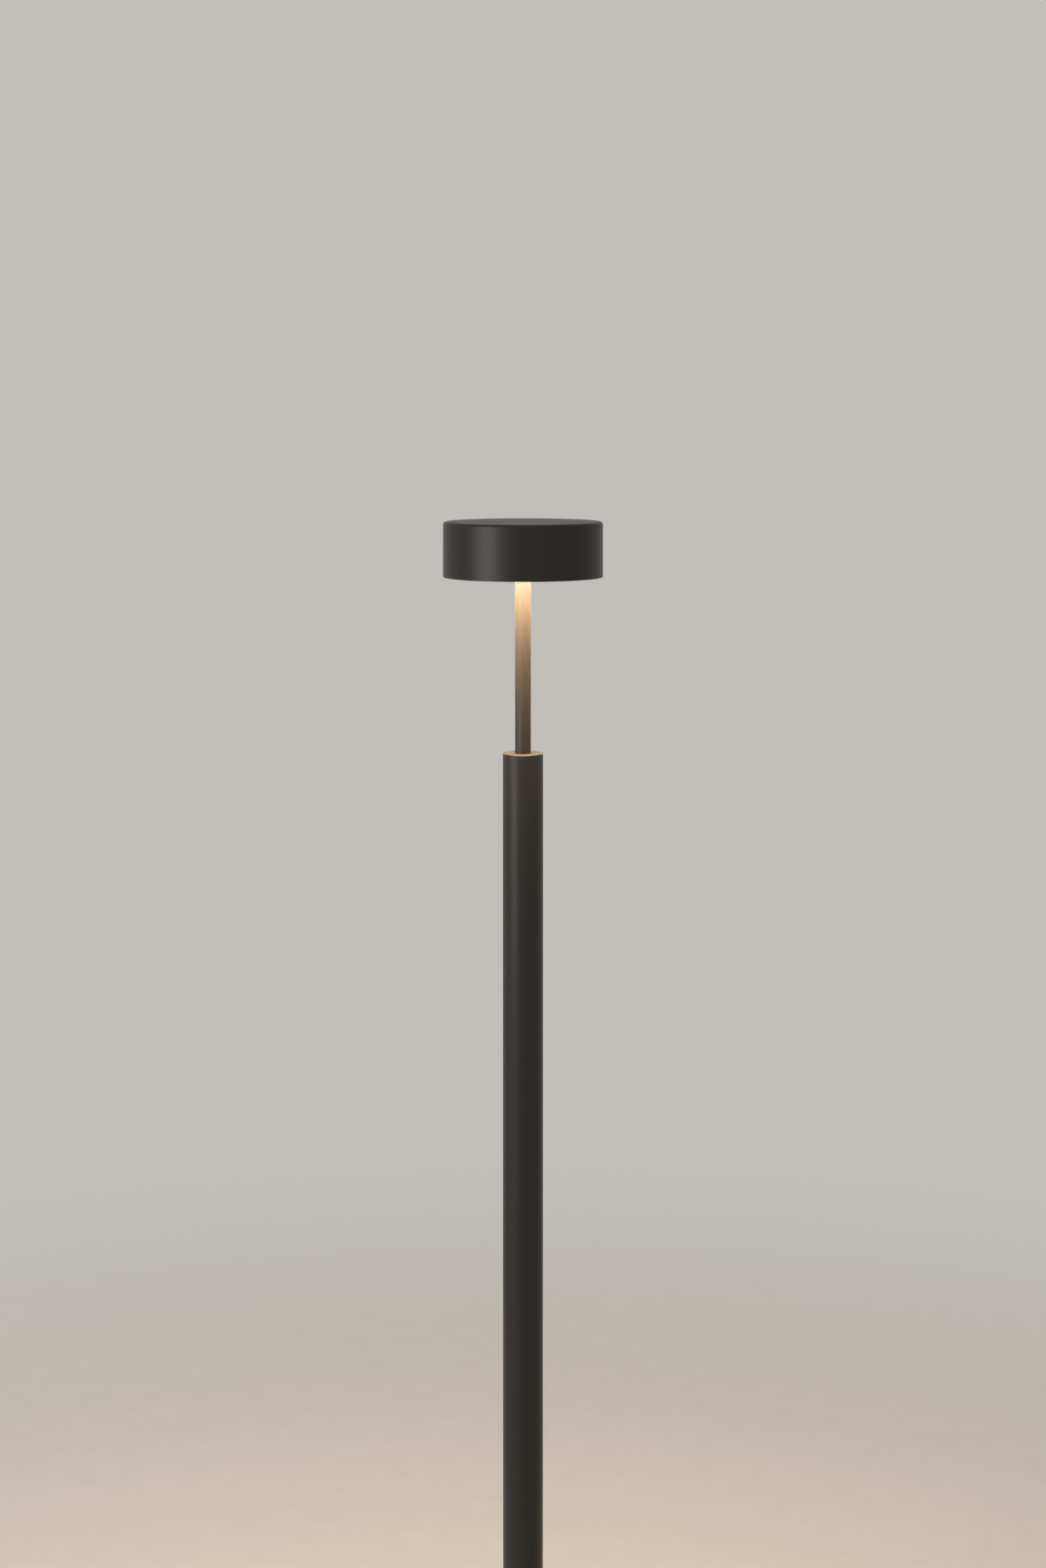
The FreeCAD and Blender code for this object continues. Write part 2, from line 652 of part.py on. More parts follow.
def head_hub():
    """Flanged socket that holds the stem's upper end."""
    bore = f"{STEM_RADIUS} + fit_gap"
    body = turned("head_hub", [
        (bore, SINK_TOP), ("hub_flange_diameter / 2", SINK_TOP),
        ("hub_flange_diameter / 2", f"{SINK_TOP} + hub_flange_thickness"),
        ("hub_boss_diameter / 2", f"{SINK_TOP} + hub_flange_thickness"),
        ("hub_boss_diameter / 2", HUB_TOP), (STEM_BORE, HUB_TOP),
        (STEM_BORE, STEM_HEAD_END), (bore, STEM_HEAD_END),
    ], HEAD_RIM)
    sketch = new_sketch(body, "hub_flange_hole", "XY_Plane", SINK_TOP)
    circle(sketch, "hub_screw_circle", "0", "screw / 2 + free_gap")
    hole = cut(body, sketch, "hub_flange_thickness", along_normal=True)
    around(body, [hole], HUB_SCREWS, "hub_flange_holes")
    sketch = new_sketch(body, "hub_grub_hole", "YZ_Plane")
    circle(sketch, "0", HUB_GRUB_HEIGHT, "screw * core_share / 2")
    hole = cut(body, sketch, along_normal=True)
    around(body, [hole], 2, "hub_grub_holes", HUB_GRUB_SPAN)
    place(body, HEAD_RIM, "0", REAR)


def head_fasteners():
    """Screws of the head: shell to plate, hub to plate, and hub on the stem."""
    upright_screws("head_screws", POST_CIRCLE, POSTS, "screw", "sink_plate + head_screw_grip",
                   f"{HEAD_RIM} + {SINK_BOTTOM}", shank_up=True, turn=REAR)
    upright_screws("hub_screws", "hub_screw_circle", HUB_SCREWS, "screw",
                   "hub_flange_thickness + sink_plate - screw_end_room",
                   f"{HEAD_RIM} + {SINK_TOP} + hub_flange_thickness", shank_up=False, turn=REAR)
    grub_screws("hub_grub_screws", f"{STEM_RADIUS} + fit_gap", "hub_boss_diameter / 2",
                f"{HEAD_RIM} + {HUB_GRUB_HEIGHT}", REAR, HUB_GRUB_SPAN)


# ---- stem and column top ---------------------------------------------------------------

def stem():
    """Tube from the nut under the column's cap to the hub in the head."""
    shoulder = "0 - cap_socket_depth"
    end = "0 - cap_socket_depth - stem_end_length"
    turned("stem", [
        (STEM_BORE, end), ("stem_end_diameter / 2", end), ("stem_end_diameter / 2", shoulder),
        (STEM_RADIUS, shoulder), (STEM_RADIUS, f"stem_exposed + {STEM_HEAD_END}"),
        (STEM_BORE, f"stem_exposed + {STEM_HEAD_END}"),
    ], COLUMN_TOP)


def column_cap():
    """Turned plug whose flange closes the column's top and whose socket carries the stem."""
    bore = f"{STEM_RADIUS} + fit_gap"
    end_bore = "stem_end_diameter / 2 + fit_gap"
    spigot = f"{COLUMN_BORE} - fit_gap"
    spigot_end = "0 - cap_flange_thickness - cap_spigot_length"
    body = turned("column_cap", [
        (bore, "0"), (COLUMN_RADIUS, "0"), (COLUMN_RADIUS, "0 - cap_flange_thickness"),
        (spigot, "0 - cap_flange_thickness"), (spigot, spigot_end), (end_bore, spigot_end),
        (end_bore, "0 - cap_socket_depth"), (bore, "0 - cap_socket_depth"),
    ], COLUMN_TOP)
    round_edges(body, "cap_edge_radius", [(COLUMN_RADIUS, "0")])
    round_edges(body, "seam_edge_radius", [(COLUMN_RADIUS, "0 - cap_flange_thickness")])
    rear_holes(body, "cap_screw_hole", "0 - cap_screw_drop", "screw * core_share / 2")


def stem_fasteners():
    """Washer and nut under the cap, and the screws that hold the cap in the tube."""
    seat = "0 - cap_flange_thickness - cap_spigot_length"
    ring("stem_washer", "stem_end_diameter / 2 + free_gap", f"{COLUMN_BORE} - washer_gap",
         f"{seat} - washer_thickness", seat, COLUMN_TOP)
    body = new_body("stem_nut")
    sketch = new_sketch(body, "nut_outline", "XY_Plane", f"{seat} - washer_thickness - nut_thickness")
    hexagon(sketch, "0", "0", "stem_end_diameter + 2 * nut_wall")
    circle(sketch, "0", "0", "stem_end_diameter / 2 + fit_gap")
    pad(body, sketch, "nut_thickness")
    place(body, COLUMN_TOP)
    grub_screws("cap_screws", f"{STEM_RADIUS} + fit_gap", COLUMN_RADIUS,
                f"{COLUMN_TOP} - cap_screw_drop", REAR_SCREW_TURN, REAR_SCREW_SPAN)


def column_tube():
    """Plain tube from the ballast to the cap's flange, drilled for its screws."""
    length = f"({COLUMN_TOP} - cap_flange_thickness - {BASE_INSIDE_TOP})"
    body = ring("column_tube", COLUMN_BORE, COLUMN_RADIUS, "0", length, BASE_INSIDE_TOP)
    round_edges(body, "seam_edge_radius", [(COLUMN_RADIUS, length)])
    rear_holes(body, "tube_cap_hole", f"{COLUMN_TOP} - cap_screw_drop - {BASE_INSIDE_TOP}",
               "screw / 2 + fit_gap")
    rear_holes(body, "tube_foot_hole", "foot_screw_height", "screw / 2 + fit_gap")


# ---- driver and leads ------------------------------------------------------------------

DRIVER_TOP = f"({COLUMN_TOP} - driver_drop)"
DRIVER_BOTTOM = f"({COLUMN_TOP} - driver_drop - driver_length)"


def driver():
    """Slim power supply for the board."""
    body = new_body("driver")
    sketch = new_sketch(body, "driver_outline", "XY_Plane")
    rectangle(sketch, "0 - driver_width / 2", "0 - driver_depth / 2", "driver_width / 2", "driver_depth / 2")
    pad(body, sketch, "driver_length")
    place(body, DRIVER_BOTTOM)


def driver_carriers():
    """Two plastic cups that centre the driver's ends in the tube."""
    body = new_body("driver_carriers")
    wall = "carrier_end_wall"
    for name, low, pocket_low in (
        ("lower", f"0 - {wall}", "0"),
        ("upper", f"driver_length + {wall} - carrier_height", f"driver_length + {wall} - carrier_height"),
    ):
        disc_sketch = new_sketch(body, name + "_cup", "XY_Plane", low)
        circle(disc_sketch, "0", "0", f"{COLUMN_BORE} - free_gap")
        pad(body, disc_sketch, "carrier_height")
        seat_sketch = new_sketch(body, name + "_seat", "XY_Plane", pocket_low)
        rectangle(seat_sketch, "0 - driver_width / 2 - fit_gap", "0 - driver_depth / 2 - fit_gap",
                  "driver_width / 2 + fit_gap", "driver_depth / 2 + fit_gap")
        cut(body, seat_sketch, f"carrier_height - {wall}", along_normal=True)
        hole_sketch = new_sketch(body, name + "_lead_hole", "XY_Plane", low)
        circle(hole_sketch, "0", "0", "carrier_lead_hole / 2")
        cut(body, hole_sketch, "carrier_height", along_normal=True)
    place(body, DRIVER_BOTTOM)


def leads():
    """Head lead up the stem, supply lead up the column, and the foot switch's lead."""
    over_fins = f"{HEAD_RIM} + {HEAD_CEILING} - fin_headroom + lead_diameter / 2 + lead_fin_gap"
    lead("head_lead", "lead_diameter", [
        ("0", "0", DRIVER_TOP),
        ("0", "0", f"{over_fins} - stem_end_bend"), ("stem_end_bend", "0", over_fins),
        (f"{CONNECTOR_REACH} - connector_bend", "0", over_fins),
        (CONNECTOR_REACH, "0", f"{over_fins} - connector_bend"),
        (CONNECTOR_REACH, "0", f"{HEAD_RIM} + {SINK_TOP} + connector_rise"),
    ])
    terminals = f"({TERMINAL_DISTANCE} - terminal_depth / 2)"
    low = f"{BALLAST_BOTTOM} + supply_lead_diameter / 2 + supply_lead_lift"
    lead("supply_lead", "supply_lead_diameter", [
        ("0", terminals, low), ("0", "supply_bend", low),
        ("0", "0", f"{low} + supply_bend"), ("0", "0", DRIVER_BOTTOM),
    ])
    flat = f"{BALLAST_BOTTOM} + lead_diameter / 2 + switch_lead_lift"
    sideways = "side_channel_offset"
    turn_in = math.hypot(value(sideways), value("switch_lead_approach"))
    at_switch = value("switch_foot_diameter / 2 + fit_gap") / turn_in
    lead("switch_lead", "lead_diameter", [
        ("switch_lead_start", terminals, flat),
        ("switch_lead_start", f"{terminals} - switch_lead_run", flat),
        (sideways, f"{terminals} - pocket_run", flat),
        (sideways, f"switch_lead_approach - {SWITCH_DISTANCE}", flat),
        (f"{sideways} * {at_switch:.6f}",
         f"switch_lead_approach * {at_switch:.6f} - {SWITCH_DISTANCE}", flat),
    ])


# ---- column foot and base --------------------------------------------------------------

def column_foot():
    """Turned plug in the tube's lower end, bolted to the ballast from below."""
    body = ring("column_foot", "foot_plug_bore / 2", f"{COLUMN_BORE} - fit_gap",
                "0", "foot_plug_height", BASE_INSIDE_TOP)
    sketch = new_sketch(body, "foot_bolt_hole", "XY_Plane")
    reach = f"bolt_circle * {DIAGONAL_SHARE:.6f}"
    circle(sketch, reach, reach, "bolt * core_share / 2")
    hole_depth = f"{BOLT_SEAT} + bolt_length - {BASE_INSIDE_TOP} + hole_runout"
    hole = cut(body, sketch, hole_depth, along_normal=True)
    around(body, [hole], FOOT_BOLTS, "foot_bolt_holes")
    rear_holes(body, "foot_screw_hole", "foot_screw_height", "screw * core_share / 2")


def ballast():
    """Cast disc with room for the bolts, the foot switch, the terminal block and the leads."""
    outside = f"({BASE_BORE} - fit_gap)"
    chamfer = "(base_edge_radius - base_sheet + free_gap)"
    body = turned("ballast", [
        ("lead_hole / 2", "0"), (outside, "0"), (outside, f"{BALLAST_HEIGHT} - {chamfer}"),
        (f"{outside} - {chamfer}", BALLAST_HEIGHT), ("lead_hole / 2", BALLAST_HEIGHT),
    ], BALLAST_BOTTOM)
    bolt_sketch = new_sketch(body, "ballast_bolt_hole", "XY_Plane")
    reach = f"bolt_circle * {DIAGONAL_SHARE:.6f}"
    circle(bolt_sketch, reach, reach, "bolt / 2 + fit_gap")
    bolt_hole = cut(body, bolt_sketch, BALLAST_HEIGHT, along_normal=True)
    seat_sketch = new_sketch(body, "ballast_bolt_seat", "XY_Plane")
    circle(seat_sketch, reach, reach, f"bolt * {HEAD_RADIUS_SHARE} + fit_gap")
    bolt_seat = cut(body, seat_sketch, BOLT_SEAT_DEPTH, along_normal=True)
    around(body, [bolt_hole, bolt_seat], FOOT_BOLTS, "ballast_bolt_holes")
    plate_sketch = new_sketch(body, "ballast_plate_screw", "XY_Plane")
    reach = f"{PLATE_SCREW_CIRCLE} * {DIAGONAL_SHARE:.6f}"
    circle(plate_sketch, reach, reach, "screw * core_share / 2")
    plate_hole = cut(body, plate_sketch, "plate_screw_length + hole_runout", along_normal=True)
    around(body, [plate_hole], PLATE_SCREWS, "ballast_plate_screws")
    switch_sketch = new_sketch(body, "ballast_switch_hole", "XY_Plane")
    circle(switch_sketch, "0", f"0 - {SWITCH_DISTANCE}", SWITCH_HOLE)
    cut(body, switch_sketch, along_normal=True)
    pocket_sketch = new_sketch(body, "ballast_terminal_pocket", "XY_Plane")
    rectangle(pocket_sketch, "0 - terminal_width / 2 - pocket_gap",
              f"{TERMINAL_DISTANCE} - terminal_depth / 2 - pocket_run",
              "side_channel_offset + channel_width / 2",
              f"{TERMINAL_DISTANCE} + terminal_depth / 2 + pocket_gap")
    cut(body, pocket_sketch, "terminal_height + terminal_headroom", along_normal=True)
    channel = "channel_width / 2"
    inlet = "(bush_bore / 2 + free_gap)"
    bush_seat = f"({BUSH_OUTSIDE} + bush_flange_width + free_gap)"
    for name, low_x, low_y, high_x, high_y, depth in (
        ("ballast_inlet_channel", f"0 - {inlet}", TERMINAL_DISTANCE, inlet, BASE_RADIUS,
         f"bush_rise + {inlet}"),
        ("ballast_supply_channel", f"0 - {channel}", "0", channel, TERMINAL_DISTANCE, "channel_depth"),
        ("ballast_supply_slot", f"0 - {channel}", "0", channel, "supply_slot_length", BALLAST_HEIGHT),
        ("ballast_switch_channel", f"side_channel_offset - {channel}",
         f"switch_channel_start - {SWITCH_DISTANCE}",
         f"side_channel_offset + {channel}", TERMINAL_DISTANCE, "channel_depth"),
        ("ballast_switch_link", "0", f"0 - {SWITCH_DISTANCE}",
         f"side_channel_offset + {channel}", f"switch_link_length - {SWITCH_DISTANCE}", "channel_depth"),
        ("ballast_bush_seat", f"0 - {bush_seat}", f"{outside} - bush_flange_thickness - free_gap",
         bush_seat, BASE_RADIUS, BALLAST_HEIGHT),
    ):
        channel_sketch = new_sketch(body, name, "XY_Plane")
        rectangle(channel_sketch, low_x, low_y, high_x, high_y)
        cut(body, channel_sketch, depth, along_normal=True)


def foot_bolts():
    """Socket bolts up through the ballast, and the grub screws that hold the tube on the plug."""
    upright_screws("foot_bolts", "bolt_circle", FOOT_BOLTS, "bolt", "bolt_length", BOLT_SEAT,
                   shank_up=True, turn=DIAGONAL)
    grub_screws("foot_grub_screws", "foot_plug_bore / 2", COLUMN_RADIUS,
                f"{BASE_INSIDE_TOP} + foot_screw_height", REAR_SCREW_TURN, REAR_SCREW_SPAN)


def base_cover():
    """Spun shell over the ballast, pierced for the column, the button and the cord's bush."""
    body = turned("base_cover", [
        (f"{COLUMN_RADIUS} + fit_gap", BASE_TOP), (f"{COLUMN_RADIUS} + fit_gap", BASE_INSIDE_TOP),
        (BASE_BORE, BASE_INSIDE_TOP), (BASE_BORE, "rubber_height"),
        (BASE_RADIUS, "rubber_height"), (BASE_RADIUS, BASE_TOP),
    ])
    round_edges(body, "base_edge_radius", [(BASE_RADIUS, BASE_TOP)])
    round_edges(body, "base_edge_radius - base_sheet", [(BASE_BORE, BASE_INSIDE_TOP)])
    button_sketch = new_sketch(body, "cover_button_hole", "XY_Plane", BASE_TOP)
    circle(button_sketch, "0", f"0 - {SWITCH_DISTANCE}", f"{BEZEL_OUTSIDE} + fit_gap")
    cut(body, button_sketch, "base_sheet")
    bush_sketch = new_sketch(body, "cover_bush_hole", "XZ_Plane")
    circle(bush_sketch, "0", f"{BALLAST_BOTTOM} + bush_rise", f"{BUSH_OUTSIDE} + fit_gap")
    cut(body, bush_sketch)


def bottom_plate():
    """Sheet disc that closes the base, with holes for its screws' flat heads."""
    body = turned("bottom_plate", [
        ("0", "0"), (f"{BASE_BORE} - free_gap", "0"), (f"{BASE_BORE} - free_gap", "bottom_sheet"),
        ("0", "bottom_sheet"),
    ], "rubber_height")
    sketch = new_sketch(body, "plate_screw_hole", "XY_Plane")
    circle(sketch, PLATE_SCREW_CIRCLE, "0", f"screw * {HEAD_RADIUS_SHARE} + fit_gap")
    hole = cut(body, sketch, "bottom_sheet", along_normal=True)
    around(body, [hole], PLATE_SCREWS, "plate_screw_holes")
    place(body, "rubber_height", "0", DIAGONAL)


def plate_screws():
    """Flat heads that sit in the bottom sheet."""
    body = new_body("plate_screws")
    sketch = new_sketch(body, "plate_screw_outline", "XZ_Plane")
    rim = f"{PLATE_SCREW_CIRCLE} + screw * {HEAD_RADIUS_SHARE}"
    shank = f"{PLATE_SCREW_CIRCLE} + screw * core_share / 2"
    end = "bottom_sheet + plate_screw_length"
    polygon(sketch, [
        (PLATE_SCREW_CIRCLE, "plate_screw_sink"), (rim, "plate_screw_sink"), (rim, "bottom_sheet"),
        (shank, "bottom_sheet"), (shank, end), (PLATE_SCREW_CIRCLE, end),
    ])
    screw = turned_screw(body, sketch, PLATE_SCREW_CIRCLE)
    socket_sketch = new_sketch(body, "plate_screw_socket", "XY_Plane", "plate_screw_sink")
    hexagon(socket_sketch, PLATE_SCREW_CIRCLE, "0", f"screw * {FLAT_SOCKET_SHARE}")
    socket = cut(body, socket_sketch, "bottom_sheet", along_normal=True)
    around(body, [screw, socket], PLATE_SCREWS, "plate_screw_set")
    place(body, "rubber_height", "0", DIAGONAL)


def rubber_feet():
    """Pads under the bottom plate."""
    body = new_body("rubber_feet")
    sketch = new_sketch(body, "pad_outline", "XY_Plane")
    circle(sketch, RUBBER_CIRCLE, "0", "rubber_diameter / 2")
    foot = pad(body, sketch, "rubber_height")
    around(body, [foot], RUBBER_PADS, "pads")


def base_collar():
    """Turned ring that covers the gap between the column and the cover."""
    body = ring("base_collar", f"{COLUMN_RADIUS} + fit_gap", f"{COLUMN_RADIUS} + collar_width",
                "0", "collar_height", BASE_TOP)
    round_edges(body, "collar_edge_radius", [(f"{COLUMN_RADIUS} + collar_width", "collar_height")])


def cord_bush():
    """Insulating bush in the rear of the cover, flanged inside, where the mains cord enters."""
    body = new_body("cord_bush")
    sketch = new_sketch(body, "bush_outline", "YZ_Plane")
    inner_face = f"{BASE_BORE} - bush_flange_thickness"
    bore = "bush_bore / 2"
    flange = f"{BUSH_OUTSIDE} + bush_flange_width"
    polygon(sketch, [
        (inner_face, bore), (f"{BASE_RADIUS} - free_gap", bore), (f"{BASE_RADIUS} - free_gap", BUSH_OUTSIDE),
        (f"{BASE_BORE} - free_gap", BUSH_OUTSIDE), (f"{BASE_BORE} - free_gap", flange), (inner_face, flange),
    ])
    feature = body.newObject("PartDesign::Revolution", "bush_turned")
    feature.Profile = sketch
    feature.ReferenceAxis = (sketch, ["H_Axis"])
    feature.Angle = 360
    place(body, f"{BALLAST_BOTTOM} + bush_rise")


def terminal_block():
    """Mains terminal block with a screw well over each way."""
    body = new_body("terminal_block")
    sketch = new_sketch(body, "block_outline", "XY_Plane")
    rectangle(sketch, "0 - terminal_width / 2", f"{TERMINAL_DISTANCE} - terminal_depth / 2",
              "terminal_width / 2", f"{TERMINAL_DISTANCE} + terminal_depth / 2")
    pad(body, sketch, "terminal_height")
    wells = new_sketch(body, "block_wells", "XY_Plane", "terminal_height")
    for place_x in ("0 - terminal_width / 3", "0", "terminal_width / 3"):
        circle(wells, place_x, TERMINAL_DISTANCE, "screw / 2")
    cut(body, wells, "terminal_height / 2")
    place(body, BALLAST_BOTTOM)


# ---- foot switch -----------------------------------------------------------------------

def button_bezel():
    """Flanged guide in the cover's hole, and the ring nut that holds it from below."""
    flange = f"{BEZEL_OUTSIDE} + bezel_flange_width"
    body = turned("button_bezel", [
        (BEZEL_BORE, BEZEL_BOTTOM), (BEZEL_OUTSIDE, BEZEL_BOTTOM), (BEZEL_OUTSIDE, BASE_TOP),
        (flange, BASE_TOP), (flange, f"{BASE_TOP} + bezel_flange_thickness"),
        (BEZEL_BORE, f"{BASE_TOP} + bezel_flange_thickness"),
    ], "0", SWITCH_DISTANCE)
    round_edges(body, "bezel_edge_radius", [(flange, f"{BASE_TOP} + bezel_flange_thickness")])
    ring("bezel_nut", f"{BEZEL_OUTSIDE} + fit_gap", f"{BEZEL_OUTSIDE} + bezel_nut_width",
         f"{BASE_INSIDE_TOP} - bezel_nut_thickness", BASE_INSIDE_TOP, "0", SWITCH_DISTANCE)


def foot_button():
    """Cup-shaped cap. Its flange stops under the bezel, and it slides down by the travel."""
    radius = "button_diameter / 2"
    inside = f"{radius} - button_wall"
    flange = f"{radius} + button_flange_width"
    flange_top = f"{BUTTON_FLANGE_LOW} + button_flange_thickness"
    body = turned("foot_button", [
        (inside, BUTTON_FLANGE_LOW), (flange, BUTTON_FLANGE_LOW), (flange, flange_top), (radius, flange_top),
        (radius, BUTTON_TOP), ("0", BUTTON_TOP), ("0", BUTTON_CEILING), (inside, BUTTON_CEILING),
    ], "0", SWITCH_DISTANCE)
    round_edges(body, "button_edge_radius", [(radius, BUTTON_TOP)])


def switch_plunger():
    """Pin under the button's ceiling that works the switch."""
    tip = f"{BUTTON_CEILING} - plunger_length"
    turned("switch_plunger", [
        ("0", tip), ("plunger_diameter / 2", tip), ("plunger_diameter / 2", BUTTON_CEILING),
        ("0", BUTTON_CEILING),
    ], "0", SWITCH_DISTANCE)


def switch_body():
    """Round step switch on the bottom plate, with a bore for the plunger."""
    bore = "plunger_diameter / 2 + free_gap"
    bore_end = f"{BUTTON_CEILING} - plunger_length - button_travel - plunger_room"
    foot = "switch_foot_diameter / 2"
    foot_top = f"{BALLAST_BOTTOM} + switch_foot_height"
    turned("switch_body", [
        ("0", BALLAST_BOTTOM), (foot, BALLAST_BOTTOM), (foot, foot_top), ("switch_diameter / 2", foot_top),
        ("switch_diameter / 2", SWITCH_TOP), (bore, SWITCH_TOP), (bore, bore_end), ("0", bore_end),
    ], "0", SWITCH_DISTANCE)


def tangent_arc(start, direction, end):
    """The arc that leaves start in this direction and reaches end."""
    chord = end - start
    inward = direction.cross(chord).cross(direction).normalize()
    radius = chord.dot(chord) / (2 * chord.dot(inward))
    centre = start + inward * radius
    middle = centre + ((start + end) * 0.5 - centre).normalize() * radius
    return Part.Arc(start, middle, end).toShape()


def button_spring():
    """Return spring between the switch and the button's ceiling: one unbroken wire."""
    wire = value("spring_wire") / 2
    radius = value("spring_diameter") / 2
    bottom = value(f"{SWITCH_TOP} + spring_end_gap") + wire
    height = value(f"{BUTTON_CEILING} - spring_end_gap") - wire - bottom
    quarters = 4 * int(value("spring_turns"))
    climb = height / quarters
    slope = climb / (math.pi / 2 * radius)
    edges = []
    places = []
    for quarter in range(quarters + 1):
        angle = math.pi / 2 * quarter
        place_on_wire = V(radius * math.cos(angle), radius * math.sin(angle), bottom + climb * quarter)
        direction = V(-math.sin(angle), math.cos(angle), slope).normalize()
        places.append((place_on_wire, direction))
    for (start, leaving), (end, arriving) in zip(places, places[1:]):
        chord = end - start
        both = chord.dot(leaving + arriving)
        spread = 2 * (1 - leaving.dot(arriving))
        reach = (math.sqrt(both ** 2 + spread * chord.dot(chord)) - both) / spread
        halfway = (start + leaving * reach + end - arriving * reach) * 0.5
        edges.append(tangent_arc(start, leaving, halfway))
        edges.append(tangent_arc(halfway, (halfway - start - leaving * reach).normalize(), end))
    section = Part.Wire([Part.Circle(places[0][0], places[0][1], wire).toShape()])
    solid = Part.Wire(edges).makePipeShell([section], True, False)
    expected = math.pi * wire ** 2 * sum(edge.Length for edge in edges)
    print(f"button_spring: {climb * 4 - 2 * wire:.2f} mm between turns, "
          f"volume {solid.Volume:.1f} of {expected:.1f} mm3")
    feature = doc.addObject("Part::Feature", "button_spring")
    feature.Label = "button_spring"
    feature.Shape = solid
    feature.setExpression("Placement.Base.y", bound(f"0 - {SWITCH_DISTANCE}"))


MAKERS = [
    head_shell, diffuser_ring, diffuser, stem_grommet, reflector, led_board, led_chips, board_screws,
    heat_sink, board_terminal, head_hub, head_fasteners, stem, column_cap, stem_fasteners, column_tube,
    driver, driver_carriers, leads, column_foot, ballast, foot_bolts, base_cover, bottom_plate,
    plate_screws, rubber_feet, base_collar, cord_bush, terminal_block, button_bezel, foot_button,
    switch_plunger, switch_body, button_spring,
]
for make in MAKERS:
    make()

doc.recompute()
pieces = [thing for thing in doc.Objects if thing.TypeId in ("PartDesign::Body", "Part::Feature")]
faults = []
for thing in doc.Objects:
    if "Invalid" in thing.State or "Error" in thing.State:
        faults.append(f"{thing.Name}: {thing.State}")
for piece in pieces:
    if piece.Shape.isNull() or not piece.Shape.isValid():
        faults.append(f"{piece.Label}: no valid shape")
if faults:
    raise RuntimeError("; ".join(faults))

os.makedirs("parts", exist_ok=True)
for piece in pieces:
    piece.Shape.exportStep(f"parts/{piece.Label}.step")
    box = piece.Shape.BoundBox
    print(f"{piece.Label}: {len(piece.Shape.Solids)} solids, {piece.Shape.Volume / 1000:.1f} cm3, "
          f"z {box.ZMin:.1f} to {box.ZMax:.1f}")
print(len(pieces), "pieces")
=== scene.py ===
# %% [markdown]
# # A column floor lamp
# The real lamp is a drum head on a thin stem. The head shines straight down, so its light
# runs along the stem and lands on the top of a thicker column, which stands on a weighted
# disc with a foot switch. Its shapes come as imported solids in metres, with the floor at
# height zero, so this script only dresses them: camera, studio, finishes, and the pieces
# whose edges or grips deserve a finer mesh than a solid gives.

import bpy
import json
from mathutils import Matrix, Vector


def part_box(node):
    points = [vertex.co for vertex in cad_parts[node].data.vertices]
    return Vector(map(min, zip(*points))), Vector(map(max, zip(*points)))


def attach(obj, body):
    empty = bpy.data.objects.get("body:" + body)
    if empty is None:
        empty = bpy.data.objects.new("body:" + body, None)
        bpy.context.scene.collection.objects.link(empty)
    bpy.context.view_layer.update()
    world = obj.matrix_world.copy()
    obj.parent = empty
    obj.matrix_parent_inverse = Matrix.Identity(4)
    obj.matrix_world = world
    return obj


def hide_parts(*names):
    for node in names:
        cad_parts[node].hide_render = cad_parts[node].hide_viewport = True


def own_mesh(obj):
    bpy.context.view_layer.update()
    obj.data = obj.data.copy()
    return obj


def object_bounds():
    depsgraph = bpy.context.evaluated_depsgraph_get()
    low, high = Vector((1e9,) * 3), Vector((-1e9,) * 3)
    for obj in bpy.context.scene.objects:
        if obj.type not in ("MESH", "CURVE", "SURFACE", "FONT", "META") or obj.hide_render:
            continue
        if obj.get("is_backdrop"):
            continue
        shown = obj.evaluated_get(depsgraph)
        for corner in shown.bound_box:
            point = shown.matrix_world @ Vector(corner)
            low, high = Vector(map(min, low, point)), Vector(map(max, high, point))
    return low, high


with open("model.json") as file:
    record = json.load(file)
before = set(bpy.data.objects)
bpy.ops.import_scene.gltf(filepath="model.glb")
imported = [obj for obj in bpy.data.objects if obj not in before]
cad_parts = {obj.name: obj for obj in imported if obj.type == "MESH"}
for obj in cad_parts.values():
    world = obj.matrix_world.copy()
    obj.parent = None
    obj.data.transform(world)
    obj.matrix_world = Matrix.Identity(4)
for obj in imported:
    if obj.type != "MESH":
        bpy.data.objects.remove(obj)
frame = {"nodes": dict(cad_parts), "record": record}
cad_low, cad_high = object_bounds()
print(f"{len(frame['nodes'])} pieces, {cad_high.z:.3f} m tall,",
      f"{cad_high.x - cad_low.x:.3f} m across")

# %% [markdown]
# ## Where the camera stands
# The picture was taken from a little above the head with a moderately long lens, so the
# column's sides stay nearly parallel. A camera could be tilted down until the head sits
# high in the frame, but that would pinch the column towards its foot. Most of the offset
# is therefore lens shift, as with a view camera, and only the rest is tilt.

# %% The camera
import json
import math

import bmesh
import bpy
from mathutils import Matrix, Vector

LENS_MM = 60
SENSOR_MM = 36
LENS_SHIFT = -0.165              # in picture heights, downwards
CAMERA_DISTANCE = 2.447          # metres in front of the column's axis
CAMERA_HEIGHT = 1.4047           # metres above the floor
CAMERA_TILT = math.radians(2.534)

scene = bpy.context.scene
lens = bpy.data.cameras.new("studio_camera")
lens.lens = LENS_MM
lens.sensor_width = SENSOR_MM
lens.shift_y = LENS_SHIFT
camera = bpy.data.objects.new("studio_camera", lens)
camera.location = (0, -CAMERA_DISTANCE, CAMERA_HEIGHT)
camera.rotation_euler = (math.radians(90) - CAMERA_TILT, 0, 0)
scene.collection.objects.link(camera)
scene.camera = camera
scene.view_settings.view_transform = "Standard"
print(f"camera {CAMERA_DISTANCE} m in front, {CAMERA_HEIGHT} m up,",
      f"tilted {math.degrees(CAMERA_TILT):.1f} degrees")

